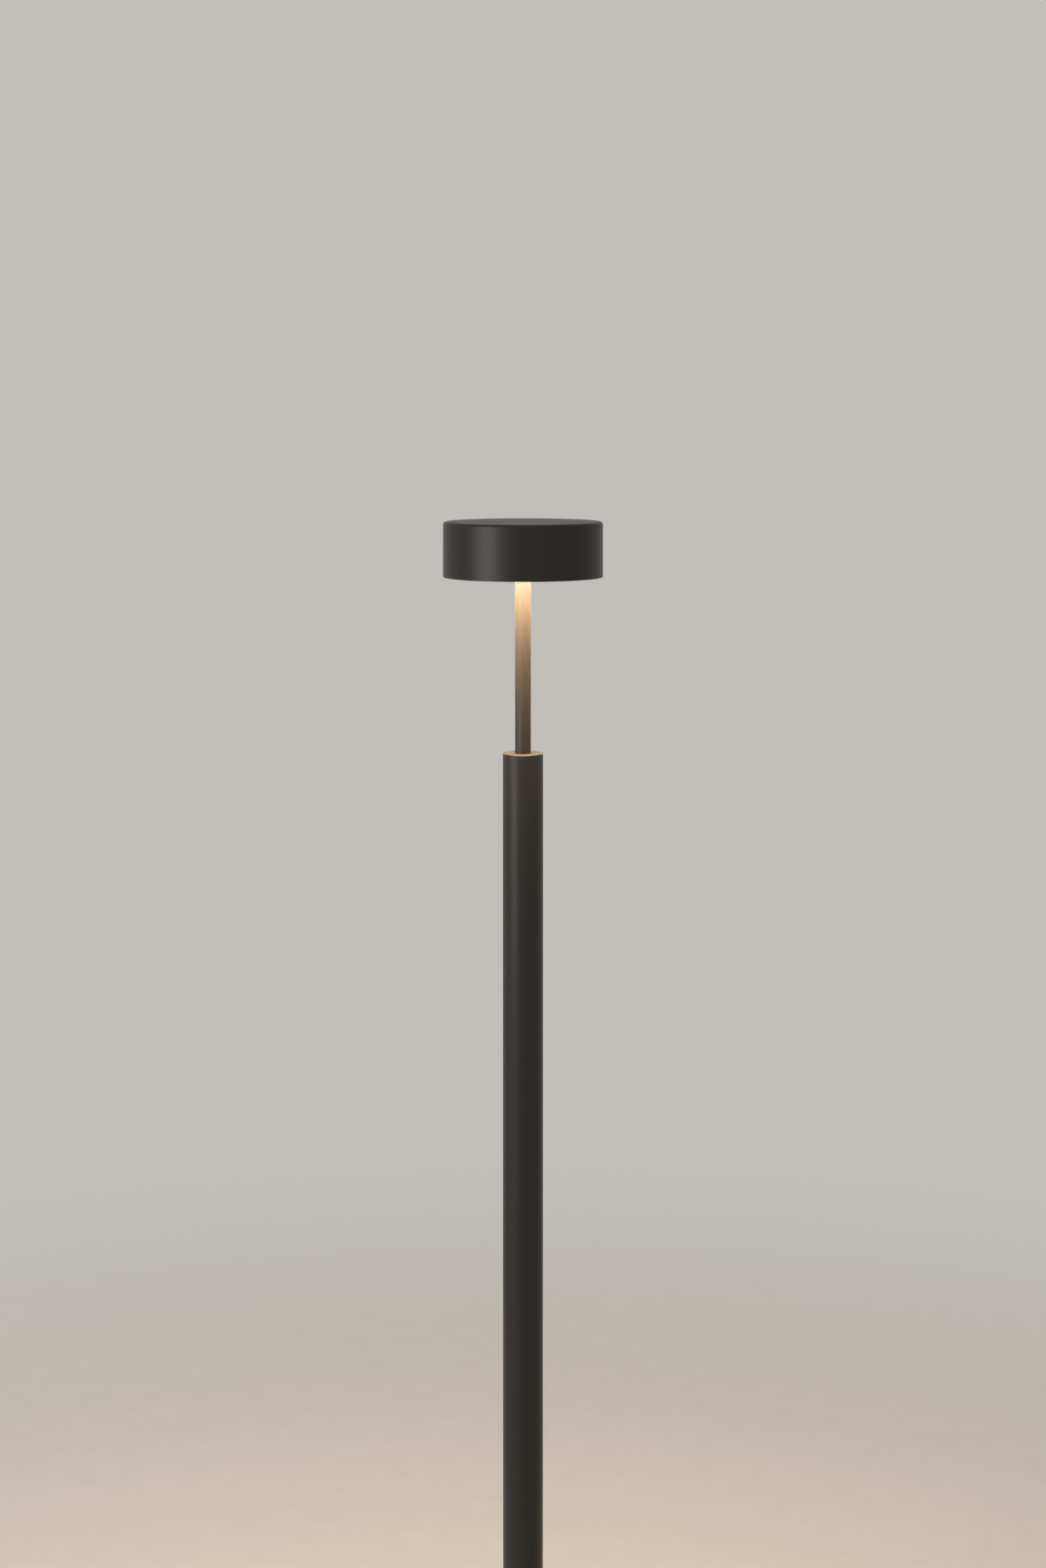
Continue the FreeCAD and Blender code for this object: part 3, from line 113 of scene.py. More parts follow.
# %% [markdown]
# ## A way to write shader nodes
# Every finish below is a small node tree. Written out call by call, a tree is long and
# hides its idea. One helper that makes a node, fills in its sockets and joins it to the
# nodes before it keeps each finish down to the few lines that matter. The others name what
# every finish does again and again: take a noise, stretch or add patterns, turn one into
# two tones, and lift the skin by one.

# %% Helpers for node trees
def node(tree, kind, settings=None, **sockets):
    """Makes a node. Socket names are written with underscores, and _0 means the first socket."""
    made = tree.nodes.new(kind)
    for name, value in (settings or {}).items():
        setattr(made, name, value)
    for name, value in sockets.items():
        label = int(name[1:]) if name[1:].isdigit() else name.replace("_", " ")
        socket = made.inputs[label]
        if isinstance(value, bpy.types.NodeSocket):
            tree.links.new(value, socket)
        else:
            socket.default_value = value
    return made


def noise(tree, place, scale, detail):
    """A grey noise pattern with this many waves to the metre."""
    made = node(tree, "ShaderNodeTexNoise", Vector=place, Scale=scale, Detail=detail)
    return made.outputs["Fac"]


def two_tones(tree, pattern, dark, light, dark_at=0.35, light_at=0.65):
    """Colours a grey pattern from one tone to another."""
    ramp = node(tree, "ShaderNodeValToRGB", Fac=pattern)
    first, last = ramp.color_ramp.elements
    first.position, first.color = dark_at, dark
    last.position, last.color = light_at, light
    return ramp.outputs["Color"]


def rescaled(tree, pattern, low, high):
    """Stretches a pattern of 0 to 1 over another range."""
    made = node(tree, "ShaderNodeMapRange", Value=pattern, To_Min=low, To_Max=high)
    return made.outputs["Result"]


def added(tree, first, second):
    """The sum of two patterns."""
    return node(tree, "ShaderNodeMath", {"operation": "ADD"}, _0=first, _1=second).outputs[0]


def raised(tree, pattern, strength, height):
    """A skin lifted by a pattern, whose relief is this high in metres."""
    made = node(tree, "ShaderNodeBump", Strength=strength, Distance=height, Height=pattern)
    return made.outputs["Normal"]


def new_finish(name, shader_of):
    """A material whose shader is built by the given function."""
    finish = bpy.data.materials.new(name)
    finish.use_nodes = True
    tree = finish.node_tree
    tree.nodes.clear()
    place = node(tree, "ShaderNodeTexCoord").outputs["Object"]
    node(tree, "ShaderNodeOutputMaterial", Surface=shader_of(tree, place))
    return finish


print("node helpers are ready")

# %% [markdown]
# ## The studio
# The lamp is black and gives its own warm light, so a plain pale room shows it best: the
# outline reads against it, and the glow still stands out. A wall would stand in the way of
# cameras behind the lamp, so there is none. The floor is one wide disc that fades, with
# its distance from the lamp, into the same pale tone that the world has.

# %% World and floor
STUDIO_TONE = (0.54, 0.52, 0.49, 1)
FLOOR_DARK = (0.676, 0.650, 0.614, 1)
FLOOR_LIGHT = (0.694, 0.668, 0.632, 1)
FLOOR_MOTTLE = 22.0              # waves to the metre
FLOOR_ROUGHNESS = 0.75
FLOOR_RADIUS = 14
FLOOR_CORNERS = 96
FADE_START = 0.6                 # metres from the lamp
FADE_END = 2.6

world = bpy.data.worlds.new("pale_studio")
world.use_nodes = True
world.node_tree.nodes["Background"].inputs["Color"].default_value = STUDIO_TONE
scene.world = world


def floor_shader(tree, place):
    """Matt pale floor that turns into the world's tone far from the lamp."""
    far = node(tree, "ShaderNodeVectorMath", {"operation": "LENGTH"}, _0=place).outputs["Value"]
    fade = node(tree, "ShaderNodeMapRange", {"interpolation_type": "SMOOTHSTEP"},
                Value=far, From_Min=FADE_START, From_Max=FADE_END).outputs["Result"]
    paint = two_tones(tree, noise(tree, place, FLOOR_MOTTLE, 3.0), FLOOR_DARK, FLOOR_LIGHT)
    near = node(tree, "ShaderNodeBsdfPrincipled", Base_Color=paint,
                Roughness=FLOOR_ROUGHNESS).outputs["BSDF"]
    distance = node(tree, "ShaderNodeEmission", Color=STUDIO_TONE).outputs["Emission"]
    return node(tree, "ShaderNodeMixShader", _0=fade, _1=near, _2=distance).outputs["Shader"]


def linked(name, mesh, material):
    """An object in the scene that shows this mesh in this material."""
    made = bpy.data.objects.new(name, mesh)
    made.data.materials.append(material)
    scene.collection.objects.link(made)
    return made


floor_mesh = bpy.data.meshes.new("studio_floor")
floor_shape = bmesh.new()
bmesh.ops.create_circle(floor_shape, cap_ends=True, radius=FLOOR_RADIUS, segments=FLOOR_CORNERS)
floor_shape.to_mesh(floor_mesh)
floor = linked("studio_floor", floor_mesh, new_finish("studio_floor", floor_shader))
floor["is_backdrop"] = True
print(f"floor disc of {FLOOR_RADIUS} m, fading from {FADE_START} m to {FADE_END} m")

# %% [markdown]
# ## The softbox
# One large soft light stands to the left of the camera, level with the head. On a round
# black drum it draws the single upright highlight that shows how satin the coat is. A bare
# bulb would draw a hard streak, and light from all round would draw none. The rest of the
# light is the room's own tone.

# %% The softbox
SOFTBOX_TURN = math.radians(52)  # round from the camera, to its left
SOFTBOX_DISTANCE = 2.4           # metres, as are the next three
SOFTBOX_HEIGHT = 1.45
SOFTBOX_WIDTH = 1.2
SOFTBOX_TALL = 1.7
SOFTBOX_WATTS = 40
SOFTBOX_COLOUR = (1.0, 0.975, 0.94)

softbox_light = bpy.data.lights.new("softbox", "AREA")
softbox_light.shape = "RECTANGLE"
softbox_light.size = SOFTBOX_WIDTH
softbox_light.size_y = SOFTBOX_TALL
softbox_light.energy = SOFTBOX_WATTS
softbox_light.color = SOFTBOX_COLOUR
softbox = bpy.data.objects.new("softbox", softbox_light)
softbox.location = (-SOFTBOX_DISTANCE * math.sin(SOFTBOX_TURN),
                    -SOFTBOX_DISTANCE * math.cos(SOFTBOX_TURN), SOFTBOX_HEIGHT)
head_low, head_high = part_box("head_shell")
aim = Vector((0, 0, head_low.z)) - softbox.location
softbox.rotation_euler = aim.to_track_quat("-Z", "Y").to_euler()
softbox.visible_camera = False
scene.collection.objects.link(softbox)
print(f"softbox {SOFTBOX_WIDTH} x {SOFTBOX_TALL} m at {aim.length:.2f} m from the head")

# %% [markdown]
# ## The black coat
# Head, stem, column and base all wear one powder coat: satin, near black and slightly
# warm. Powder melts into a skin with a very fine orange peel, so the gloss is never quite
# even. One flat black would look like plastic. A fine noise lifts the skin, a second one
# varies the gloss, and a broad one stands for handling. The stem looks cream at its top
# only because the head's light falls on this same black.

# %% Black powder coat
COAT_DARK = (0.0143, 0.0133, 0.0121, 1)
COAT_LIGHT = (0.0238, 0.0220, 0.0200, 1)
PEEL_SCALE = 1150                # waves to the metre, a little under a millimetre each
FLECK_SCALE = 2600
HANDLING_SCALE = 14
COAT_SCATTER = 0.8               # a powdery skin sends more light back the way it came
COAT_SHINE = 0.27
COAT_GLOSS = (0.34, 0.44)        # roughness, least and most
FLECK_GLOSS = (-0.03, 0.05)      # what the flecks add to it
PEEL_STRENGTH = 0.3
PEEL_HEIGHT = 0.00004            # metres


def powder_coat(tree, place):
    """Satin powder coat: peel, flecks and faint marks of handling."""
    peel = noise(tree, place, PEEL_SCALE, 2.0)
    flecks = noise(tree, place, FLECK_SCALE, 1.0)
    handling = noise(tree, place, HANDLING_SCALE, 5.0)
    gloss = added(tree, rescaled(tree, handling, *COAT_GLOSS),
                  rescaled(tree, flecks, *FLECK_GLOSS))
    tone = two_tones(tree, flecks, COAT_DARK, COAT_LIGHT)
    skin = raised(tree, peel, PEEL_STRENGTH, PEEL_HEIGHT)
    return node(tree, "ShaderNodeBsdfPrincipled", Base_Color=tone, Roughness=gloss,
                Diffuse_Roughness=COAT_SCATTER, Specular_IOR_Level=COAT_SHINE,
                Normal=skin).outputs["BSDF"]


finishes = {"black_coat": new_finish("black_coat", powder_coat)}
print("black coat with peel of", round(1000 / PEEL_SCALE, 2), "mm")

# %% [markdown]
# ## The opal diffuser
# Under the head sits a disc of opal acrylic. It spreads the LEDs' points into one plane of
# light: warm and bright over the sixteen outer ones, weaker over the eight inner ones and
# a little whiter beside the stem. That is why the stem's top is cream and not plain white.
# A lamp object below the head could fake it, but then the disc itself would stay dull and
# nothing would leave with the model. The disc's own emission lights the stem, the column's
# top and the floor as strongly as each of them sees the disc.

# %% Opal acrylic
DIFFUSER_GLOW = 257              # strength of the glow where its colour is 1
GLOW_RINGS = (                   # radius in metres, colour of the glow there
    (0.000, (0.348, 0.290, 0.226)),
    (0.012, (0.308, 0.256, 0.200)),
    (0.020, (0.201, 0.167, 0.130)),
    (0.027, (0.250, 0.178, 0.114)),
    (0.034, (0.508, 0.335, 0.187)),
    (0.042, (0.890, 0.585, 0.328)),
    (0.052, (1.000, 0.658, 0.368)),
    (0.062, (0.847, 0.558, 0.312)),
    (0.073, (0.559, 0.368, 0.206)),
)
GLOW_REACH = 0.08                # metres, where the ramp of colours ends
OPAL_COLOUR = (0.86, 0.83, 0.77, 1)
OPAL_ROUGHNESS = 0.42
HAZE_SCALE = 900.0
HAZE_STRENGTH = 0.15
HAZE_HEIGHT = 0.00003            # metres


def opal_acrylic(tree, place):
    """Satin opal sheet, lit from behind by two rings of LEDs."""
    flat = node(tree, "ShaderNodeVectorMath", {"operation": "MULTIPLY"},
                _0=place, _1=(1, 1, 0)).outputs["Vector"]
    radius = node(tree, "ShaderNodeVectorMath", {"operation": "LENGTH"}, _0=flat).outputs["Value"]
    share = node(tree, "ShaderNodeMath", {"operation": "DIVIDE"},
                 _0=radius, _1=GLOW_REACH).outputs[0]
    ramp = node(tree, "ShaderNodeValToRGB", Fac=share)
    stops = ramp.color_ramp.elements
    while len(stops) < len(GLOW_RINGS):
        stops.new(1.0)
    for stop, (ring_radius, glow) in zip(stops, GLOW_RINGS):
        stop.position = ring_radius / GLOW_REACH
        stop.color = glow + (1,)
    satin = raised(tree, noise(tree, place, HAZE_SCALE, 2.0), HAZE_STRENGTH, HAZE_HEIGHT)
    return node(tree, "ShaderNodeBsdfPrincipled", Base_Color=OPAL_COLOUR, Roughness=OPAL_ROUGHNESS,
                Emission_Color=ramp.outputs["Color"], Emission_Strength=DIFFUSER_GLOW,
                Normal=satin).outputs["BSDF"]


finishes["opal_acrylic"] = new_finish("opal_acrylic", opal_acrylic)
print("opal disc glows at", DIFFUSER_GLOW)

# %% [markdown]
# ## Moulded parts
# Plastic housings, rubber pads and the leads' sheaths all leave a mould or an extruder,
# so they share one recipe: a body colour that drifts a little, a fine spark-eroded grain
# and a soft gloss. Only the numbers differ, so one function makes them all.

# %% Plastics and rubbers
MOULDED = {
    # slot: (colour, roughness, grain to the metre, grain height in metres)
    "white_plastic": ((0.84, 0.84, 0.81), 0.42, 1500, 0.00002),
    "grey_plastic": ((0.30, 0.31, 0.32), 0.50, 1700, 0.00003),
    "driver_case": ((0.78, 0.78, 0.75), 0.45, 1300, 0.00003),
    "dark_rubber": ((0.028, 0.028, 0.028), 0.78, 1100, 0.00006),
    "lead_sheath": ((0.065, 0.065, 0.066), 0.38, 500, 0.00004),
    "white_board": ((0.86, 0.86, 0.83), 0.22, 700, 0.00001),
    "led_yellow": ((0.90, 0.74, 0.26), 0.25, 4000, 0.00002),
}
COLOUR_DRIFT = 0.08
DRIFT_SCALE = 45.0
GLOSS_SPREAD = 0.06
GRAIN_STRENGTH = 0.5


def toned(colour, share):
    """The colour, brighter or darker by a share, as four numbers."""
    return tuple(min(1, part * (1 + share)) for part in colour) + (1,)


def moulded(colour, roughness, grain, height):
    """A shader function for one moulded material."""
    def shader(tree, place):
        spark = noise(tree, place, grain, 2.0)
        tone = two_tones(tree, noise(tree, place, DRIFT_SCALE, 4.0),
                         toned(colour, -COLOUR_DRIFT), toned(colour, COLOUR_DRIFT))
        gloss = rescaled(tree, spark, roughness - GLOSS_SPREAD, roughness + GLOSS_SPREAD)
        return node(tree, "ShaderNodeBsdfPrincipled", Base_Color=tone, Roughness=gloss,
                    Normal=raised(tree, spark, GRAIN_STRENGTH, height)).outputs["BSDF"]
    return shader


for slot_name, numbers in MOULDED.items():
    finishes[slot_name] = new_finish(slot_name, moulded(*numbers))
print("moulded finishes:", ", ".join(MOULDED))

# %% [markdown]
# ## Bare metals
# The hub and the heat sink are machined aluminium, the screws and the bottom plate are
# zinc-plated steel, the grub screws are blackened, and the ballast is rough cast iron.
# Metal has no body colour of its own, only a tinted mirror, so what tells these apart is
# the size and direction of the marks in it. Turned and rolled pieces have their noise
# squeezed along one axis, cast iron keeps it round and coarse.

# %% Metals
METALS = {
    # slot: (colour, metallic, roughness, marks to the metre along x, y, z, mark depth in metres)
    "cast_aluminium": ((0.70, 0.71, 0.72), 1.0, 0.36, (160, 160, 2600), 0.00003),
    "zinc_steel": ((0.63, 0.64, 0.65), 1.0, 0.33, (90, 1500, 1500), 0.00002),
    "black_screw": ((0.045, 0.045, 0.048), 0.8, 0.42, (900, 900, 900), 0.00002),
    "spring_steel": ((0.56, 0.56, 0.57), 1.0, 0.28, (700, 700, 3000), 0.00001),
    "iron": ((0.17, 0.165, 0.16), 0.7, 0.62, (420, 420, 420), 0.0002),
}
PATCH_SCALE = 60.0
PATCH_TONES = (-0.1, 0.06)       # how much darker and lighter the patches are
PATCH_SPREAD = 0.05              # how far they move the roughness
MARK_SPREAD = 0.07               # how far the tool's marks move it
MARK_STRENGTH = 0.6


def bare_metal(colour, metallic, roughness, marks, depth):
    """A shader function for one metal, with its marks stretched along one axis."""
    def shader(tree, place):
        along = node(tree, "ShaderNodeMapping", Vector=place, Scale=marks).outputs["Vector"]
        tool = noise(tree, along, 1.0, 4.0)
        patches = noise(tree, place, PATCH_SCALE, 3.0)
        gloss = added(tree, rescaled(tree, tool, roughness - MARK_SPREAD, roughness + MARK_SPREAD),
                      rescaled(tree, patches, -PATCH_SPREAD, PATCH_SPREAD))
        tone = two_tones(tree, patches, *(toned(colour, share) for share in PATCH_TONES))
        return node(tree, "ShaderNodeBsdfPrincipled", Base_Color=tone, Metallic=metallic,
                    Roughness=gloss,
                    Normal=raised(tree, tool, MARK_STRENGTH, depth)).outputs["BSDF"]
    return shader


for slot_name, numbers in METALS.items():
    finishes[slot_name] = new_finish(slot_name, bare_metal(*numbers))
print("metal finishes:", ", ".join(METALS))

# %% [markdown]
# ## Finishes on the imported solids
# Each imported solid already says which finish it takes, so nothing has to be picked by
# hand: its slot's name is looked up in the finishes made above. A name that is missing
# stops the script here and not in a grey render.

# %% Put the finishes on
slot_of = {}
for part in frame["record"]["subparts"]:
    slot_of[part["node"]] = part["material_slot"]
for name, solid in frame["nodes"].items():
    for material_slot in solid.material_slots:
        material_slot.material = finishes[slot_of[name]]
print(len(slot_of), "solids in", len(set(slot_of.values())), "finishes")

# %% [markdown]
# ## Rounding the corners
# Almost every visible piece here was turned on a lathe or spun, so its mesh starts as half
# of its section, drawn once. A real edge is never knife sharp. A tiny arc at each corner
# catches a line of light, and two points close beside the arc become rings that keep the
# smooth shading from bleeding over the flat faces.

# %% Round an outline's corners
ARC_STEPS = 6
HOLDING = 0.00012                # from an arc to the ring that holds its shading, in metres
FINE_EDGE = 0.0002               # rounding where two pieces meet, in metres
BROKEN_EDGE = 0.0003             # an ordinary machined edge
SOFT_EDGE = 0.0004               # a cut end or the edge of a flange
GROOVE_EDGE = 0.0001             # the corner of a groove or a step


def softened(corners):
    """An outline with rounded corners. Each corner is (radius, height, rounding) in metres."""
    outline = []
    for number, (x, z, rounding) in enumerate(corners):
        corner = Vector((x, z))
        if rounding == 0:
            outline.append(corner)
            continue
        before = (Vector(corners[number - 1][:2]) - corner).normalized()
        after = (Vector(corners[(number + 1) % len(corners)][:2]) - corner).normalized()
        half = before.angle(after) / 2
        trim = rounding / math.tan(half)
        centre = corner + (before + after).normalized() * (rounding / math.sin(half))
        start = corner + before * trim - centre
        finish = corner + after * trim - centre
        turn = math.pi - 2 * half
        if start.x * finish.y < start.y * finish.x:
            turn = -turn
        outline.append(corner + before * (trim + HOLDING))
        for step in range(ARC_STEPS + 1):
            angle = turn * step / ARC_STEPS
            arc = Vector((start.x * math.cos(angle) - start.y * math.sin(angle),
                          start.x * math.sin(angle) + start.y * math.cos(angle)))
            outline.append(centre + arc)
        outline.append(corner + after * (trim + HOLDING))
    return outline


print("a rounded corner takes", ARC_STEPS + 3, "points")

# %% [markdown]
# ## Spinning the outline
# A lathe turns the section about an axis, and so does this. Each point of the outline
# becomes a ring, and neighbouring rings are joined by faces. A point on the axis itself has
# no ring, so the faces there close to triangles and leave no hole and no stray corner.

# %% Spin an outline into a shape
def spin_into(shape, outline, steps, where=Matrix.Identity(4)):
    """Turns a closed outline about the Z axis into the shape, then moves it where it belongs."""
    rings = []
    for radius, height in outline:
        ring = []
        for step in range(steps if radius > 0 else 1):
            angle = 2 * math.pi * step / steps
            spot = Vector((radius * math.cos(angle), radius * math.sin(angle), height))
            ring.append(shape.verts.new(where @ spot))
        rings.append(ring)
    for ring, following in zip(rings, rings[1:] + rings[:1]):
        for step in range(steps):
            beside = (step + 1) % steps
            corners = [ring[step % len(ring)], ring[beside % len(ring)],
                       following[beside % len(following)], following[step % len(following)]]
            corners = list(dict.fromkeys(corners))
            if len(corners) > 2:
                shape.faces.new(corners)


def moved_out(radius, angle):
    """The move from the axis to a place on a circle round it."""
    return Matrix.Translation((radius * math.cos(angle), radius * math.sin(angle), 0))


print("outlines can be spun")

# %% [markdown]
# ## Handing a piece over
# A finished mesh has to take its node's place: it rides on the same body, wears the same
# finish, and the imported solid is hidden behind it. Every piece below needs the same steps,
# so they are written once.

# %% Put a piece in its node's place
def placed(shape, name, body, *replaced):
    """Makes the shape an object in its node's finish, on its body, in place of its nodes."""
    bmesh.ops.recalc_face_normals(shape, faces=shape.faces)
    mesh = bpy.data.meshes.new(name)
    shape.to_mesh(mesh)
    shape.free()
    mesh.shade_smooth()
    slot_name = slot_of[replaced[0]]
    piece = linked(name, mesh, finishes[slot_name])
    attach(piece, body)
    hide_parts(*replaced)
    size = piece.dimensions * 1000
    print(f"{name}: {len(mesh.polygons)} faces, {size.x:.1f} x {size.y:.1f} x {size.z:.1f} mm")
    return piece


def turned_piece(name, corners, steps, body="lamp", where=Matrix.Identity(4)):
    """One turned piece that stands for the node of the same name."""
    shape = bmesh.new()
    spin_into(shape, softened(corners), steps, where)
    return placed(shape, name + "_turned", body, name)


print("pieces can take their nodes' places")

# %% [markdown]
# ## The head
# The shell is a turned drum with a thick top and thin sides, open below, and three posts
# under its top take the screws from the heat sink. Its top edge is rounded by three
# millimetres, which is what draws the thin bright line round the top in the picture. The
# rim below is only broken, so the drum ends crisply.

# %% Head shell
WIDE_STEPS = 256                 # facets round a wide piece
HEAD_WALL = 0.002
HEAD_TOP = 0.003
HEAD_EDGE = 0.003
RIM_EDGE = 0.0005
CEILING_EDGE = 0.001
POST_TURNS = (90, 210, 330)      # degrees round the axis
POST_INSET = 0.009
POST_LENGTH = 0.0184
POST_RADIUS = 0.0045
POST_STEPS = 32
POST_BORE = 0.00164
POST_DEPTH = 0.012

head_radius = head_high.x
head_inside = head_radius - HEAD_WALL
head_ceiling = head_high.z - HEAD_TOP
shell = bmesh.new()
spin_into(shell, softened([
    (head_radius, head_low.z, RIM_EDGE), (head_radius, head_high.z, HEAD_EDGE),
    (0, head_high.z, 0), (0, head_ceiling, 0),
    (head_inside, head_ceiling, CEILING_EDGE), (head_inside, head_low.z, BROKEN_EDGE),
]), WIDE_STEPS)
post_end = head_ceiling - POST_LENGTH
bore_end = post_end + POST_DEPTH
post_outline = softened([
    (POST_RADIUS, post_end, SOFT_EDGE), (POST_RADIUS, head_ceiling, 0), (0, head_ceiling, 0),
    (0, bore_end, 0), (POST_BORE, bore_end, 0), (POST_BORE, post_end, FINE_EDGE),
])
for turn in POST_TURNS:
    spin_into(shell, post_outline, POST_STEPS,
              moved_out(head_inside - POST_INSET, math.radians(turn)))
placed(shell, "head_drum", "lamp", "head_shell")

# %% [markdown]
# ## The light opening
# Inside the rim a slim ring holds the opal disc, and a soft grommet closes the disc's
# hole round the stem so that no bare light leaks past. All three are plain rings, yet
# they are what one sees on looking up into the lamp, so each has its own small edges.

# %% Diffuser, its ring and the grommet
RING_WIDTH = 0.0035
RING_LIP_EDGE = 0.0006
GROMMET_WAIST = 0.001
GROMMET_GAP = 0.00005            # between the stem and the grommet's bore
GROMMET_STEPS = 96

ring_low, ring_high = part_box("diffuser_ring")
ring_inside = ring_high.x - RING_WIDTH
turned_piece("diffuser_ring", [
    (ring_high.x, ring_low.z, BROKEN_EDGE), (ring_high.x, ring_high.z, FINE_EDGE),
    (ring_inside, ring_high.z, FINE_EDGE), (ring_inside, ring_low.z, RING_LIP_EDGE),
], WIDE_STEPS)

stem_low, stem_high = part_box("stem")
stem_radius = stem_high.x
grommet_low, grommet_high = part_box("stem_grommet")
grommet_bore = stem_radius + GROMMET_GAP
disc_hole = grommet_bore + GROMMET_WAIST
disc_low, disc_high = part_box("diffuser")
turned_piece("diffuser", [
    (disc_high.x, disc_low.z, BROKEN_EDGE), (disc_high.x, disc_high.z, BROKEN_EDGE),
    (disc_hole, disc_high.z, FINE_EDGE), (disc_hole, disc_low.z, FINE_EDGE),
], WIDE_STEPS)

turned_piece("stem_grommet", [
    (grommet_bore, grommet_low.z, FINE_EDGE), (grommet_high.x, grommet_low.z, SOFT_EDGE),
    (grommet_high.x, disc_low.z, BROKEN_EDGE), (disc_hole, disc_low.z, GROOVE_EDGE),
    (disc_hole, disc_high.z, GROOVE_EDGE), (grommet_high.x, disc_high.z, BROKEN_EDGE),
    (grommet_high.x, grommet_high.z, SOFT_EDGE), (grommet_bore, grommet_high.z, FINE_EDGE),
], GROMMET_STEPS)

# %% [markdown]
# ## The stem
# The stem is a coated tube that stands in the column's cap on a shoulder and ends in the
# hub inside the head. Only its middle shows, but that stretch is the brightest thing in
# the picture, so it gets a fine mesh from end to end.

# %% Stem
STEM_WALL = 0.002
STEM_END_RADIUS = 0.0065
STEM_END_LENGTH = 0.017
STEM_STEPS = 128

stem_bore = stem_radius - STEM_WALL
shoulder = stem_low.z + STEM_END_LENGTH
turned_piece("stem", [
    (stem_bore, stem_low.z, BROKEN_EDGE), (STEM_END_RADIUS, stem_low.z, SOFT_EDGE),
    (STEM_END_RADIUS, shoulder, FINE_EDGE), (stem_radius, shoulder, BROKEN_EDGE),
    (stem_radius, stem_high.z, BROKEN_EDGE), (stem_bore, stem_high.z, BROKEN_EDGE),
], STEM_STEPS)

# %% [markdown]
# ## The foot switch's button
# A foot finds the button without looking, so its top has rings turned into it. They could
# be drawn as bump, but a low camera sees them in outline, so they are cut into the
# section itself. The button is the one piece that moves: it rides on its own body.

# %% Foot button
BUTTON_WALL = 0.0018
BUTTON_FLANGE = 0.0014
BUTTON_FLANGE_TALL = 0.0018
BUTTON_EDGE = 0.0012
BUTTON_CEILING_EDGE = 0.0006
BUTTON_STEPS = 128
GRIP_RADII = (0.0088, 0.0062, 0.0036)
GRIP_WIDTH = 0.0009
GRIP_DEPTH = 0.0004
GRIP_EDGE = 0.00012
GRIP_FLOOR_EDGE = 0.00008

button_low, button_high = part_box("foot_button")
button_centre = Vector(((button_low.x + button_high.x) / 2,
                        (button_low.y + button_high.y) / 2, 0))
flange_radius = (button_high.x - button_low.x) / 2
button_radius = flange_radius - BUTTON_FLANGE
button_inside = button_radius - BUTTON_WALL
flange_top = button_low.z + BUTTON_FLANGE_TALL
grip_floor = button_high.z - GRIP_DEPTH
button_section = [
    (button_inside, button_low.z, BROKEN_EDGE), (flange_radius, button_low.z, BROKEN_EDGE),
    (flange_radius, flange_top, BROKEN_EDGE), (button_radius, flange_top, FINE_EDGE),
    (button_radius, button_high.z, BUTTON_EDGE),
]
for radius in GRIP_RADII:
    button_section += [
        (radius, button_high.z, GRIP_EDGE), (radius, grip_floor, GRIP_FLOOR_EDGE),
        (radius - GRIP_WIDTH, grip_floor, GRIP_FLOOR_EDGE),
        (radius - GRIP_WIDTH, button_high.z, GRIP_EDGE),
    ]
button_section += [
    (0, button_high.z, 0), (0, button_high.z - BUTTON_WALL, 0),
    (button_inside, button_high.z - BUTTON_WALL, BUTTON_CEILING_EDGE),
]
turned_piece("foot_button", button_section, BUTTON_STEPS, "button",
             Matrix.Translation(button_centre))

# %% [markdown]
# ## The return spring
# A small wire spring under the button pushes it up again. When the button goes down, the
# spring has to get shorter, or its turns would come out through the button's top. A packed
# solid keeps its shape, so the wire is made here as a mesh. A small circle is carried along
# a rising helix, square to the wire, and each circle is joined to the next.

# %% Return spring
SPRING_TURNS = 3
SPRING_WIRE = 0.0006
TURN_STEPS = 48                  # circles along one turn of wire
WIRE_CORNERS = 16


def wire_circle(shape, middle, outwards, along):
    """Adds one circle of the wire, square to the way the wire runs."""
    upwards = outwards.cross(along)
    circle = []
    for corner in range(WIRE_CORNERS):
        lean = 2 * math.pi * corner / WIRE_CORNERS
        spoke = outwards * math.cos(lean) + upwards * math.sin(lean)
        circle.append(shape.verts.new(middle + spoke * SPRING_WIRE / 2))
    return circle


spring_low, spring_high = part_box("button_spring")
coil_radius = (spring_high.x - spring_low.x - SPRING_WIRE) / 2
coil_climb = (spring_high.z - spring_low.z - SPRING_WIRE) / SPRING_TURNS
coil_start = button_centre + Vector((0, 0, spring_low.z + SPRING_WIRE / 2))
coil_slope = coil_climb / (2 * math.pi * coil_radius)
coil = bmesh.new()
circles = []
for step in range(SPRING_TURNS * TURN_STEPS + 1):
    angle = 2 * math.pi * step / TURN_STEPS
    outwards = Vector((math.cos(angle), math.sin(angle), 0))
    along = Vector((-math.sin(angle), math.cos(angle), coil_slope)).normalized()
    middle = coil_start + outwards * coil_radius + Vector((0, 0, coil_climb * step / TURN_STEPS))
    circles.append(wire_circle(coil, middle, outwards, along))
for circle, following in zip(circles, circles[1:]):
    for corner in range(WIRE_CORNERS):
        beside = (corner + 1) % WIRE_CORNERS
        coil.faces.new((circle[corner], circle[beside], following[beside], following[corner]))
coil.faces.new(circles[0])
coil.faces.new(circles[-1])
return_spring = placed(coil, "return_spring", "lamp", "button_spring")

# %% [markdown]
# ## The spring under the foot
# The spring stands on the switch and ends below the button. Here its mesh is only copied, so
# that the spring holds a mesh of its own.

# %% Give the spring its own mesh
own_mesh(return_spring)

# %% [markdown]
# ## What the lamp stands on
# Six moulded pads keep the steel plate off the floor. A moulded pad has a rounded edge
# and a shallow hollow below, so it grips by its rim. They are one set, so one section is
# drawn once and spun six times.

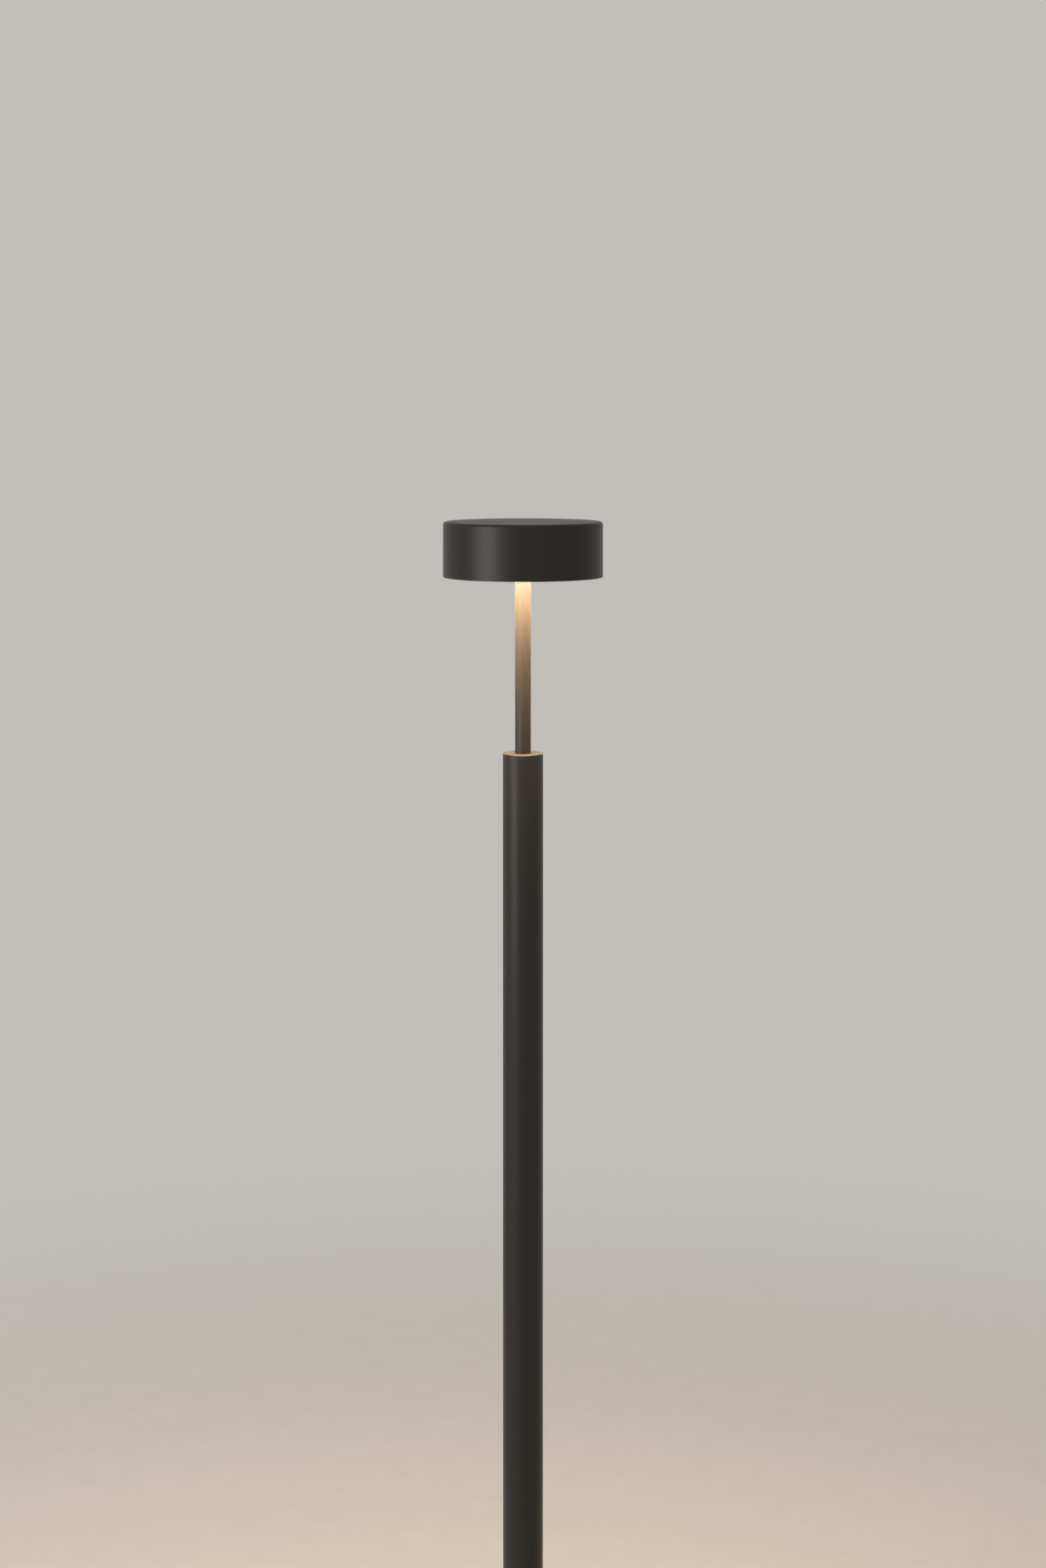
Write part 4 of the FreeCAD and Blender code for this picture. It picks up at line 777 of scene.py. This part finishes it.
# %% Rubber pads
PAD_RADIUS = 0.010
PAD_COUNT = 6
PAD_HOLLOW = 0.0004
PAD_EDGE = 0.0007
PAD_RIM = 0.0035                 # from the edge in to where the hollow starts
PAD_SLOPE_END = 0.0045           # and to where it is at its full depth
PAD_STEPS = 64

pad_low, pad_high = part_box("rubber_feet")
pad_circle = pad_high.x - PAD_RADIUS
pads = bmesh.new()
pad_outline = softened([
    (0, pad_high.z, 0), (PAD_RADIUS, pad_high.z, FINE_EDGE), (PAD_RADIUS, pad_low.z, PAD_EDGE),
    (PAD_RADIUS - PAD_RIM, pad_low.z, BROKEN_EDGE),
    (PAD_RADIUS - PAD_SLOPE_END, pad_low.z + PAD_HOLLOW, BROKEN_EDGE),
    (0, pad_low.z + PAD_HOLLOW, 0),
])
for number in range(PAD_COUNT):
    spin_into(pads, pad_outline, PAD_STEPS,
              moved_out(pad_circle, 2 * math.pi * number / PAD_COUNT))
placed(pads, "rubber_pads", "lamp", "rubber_feet")

# %% [markdown]
# ## The cord's bush
# At the rear a soft bush lines the hole where the mains cord enters. It is turned like
# the rest, but about a level axis, so the same outline is spun upright and laid down. Its
# outer lip is well rounded, because a cord bends over it.

# %% Cord bush
BUSH_BORE = 0.0035
BUSH_WALL = 0.001
BUSH_FLANGE = 0.001
BUSH_FLANGE_THICK = 0.0017
BUSH_LIP_EDGE = 0.00045
BUSH_STEPS = 64

bush_low, bush_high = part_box("cord_bush")
bush_height = (bush_low.z + bush_high.z) / 2
bush_step = bush_low.y + BUSH_FLANGE_THICK
laid_back = Matrix.Translation((0, 0, bush_height)) @ Matrix.Rotation(math.radians(-90), 4, "X")
bush_outside = BUSH_BORE + BUSH_WALL
flange_outside = bush_outside + BUSH_FLANGE
turned_piece("cord_bush", [
    (BUSH_BORE, bush_low.y, BROKEN_EDGE), (flange_outside, bush_low.y, BROKEN_EDGE),
    (flange_outside, bush_step, BROKEN_EDGE), (bush_outside, bush_step, GROOVE_EDGE),
    (bush_outside, bush_high.y, BROKEN_EDGE), (BUSH_BORE, bush_high.y, BUSH_LIP_EDGE),
], BUSH_STEPS, where=laid_back)

# %% [markdown]
# ## The size after dressing
# The dressed lamp has to fit the imported one. The box round the dressed pieces is measured
# again, and its growth over the imported box is printed.

# %% Sizes
made_low, made_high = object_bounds()
growth = (made_high - made_low) - (cad_high - cad_low)
print("growth in mm:", [round(part * 1000, 3) for part in growth])
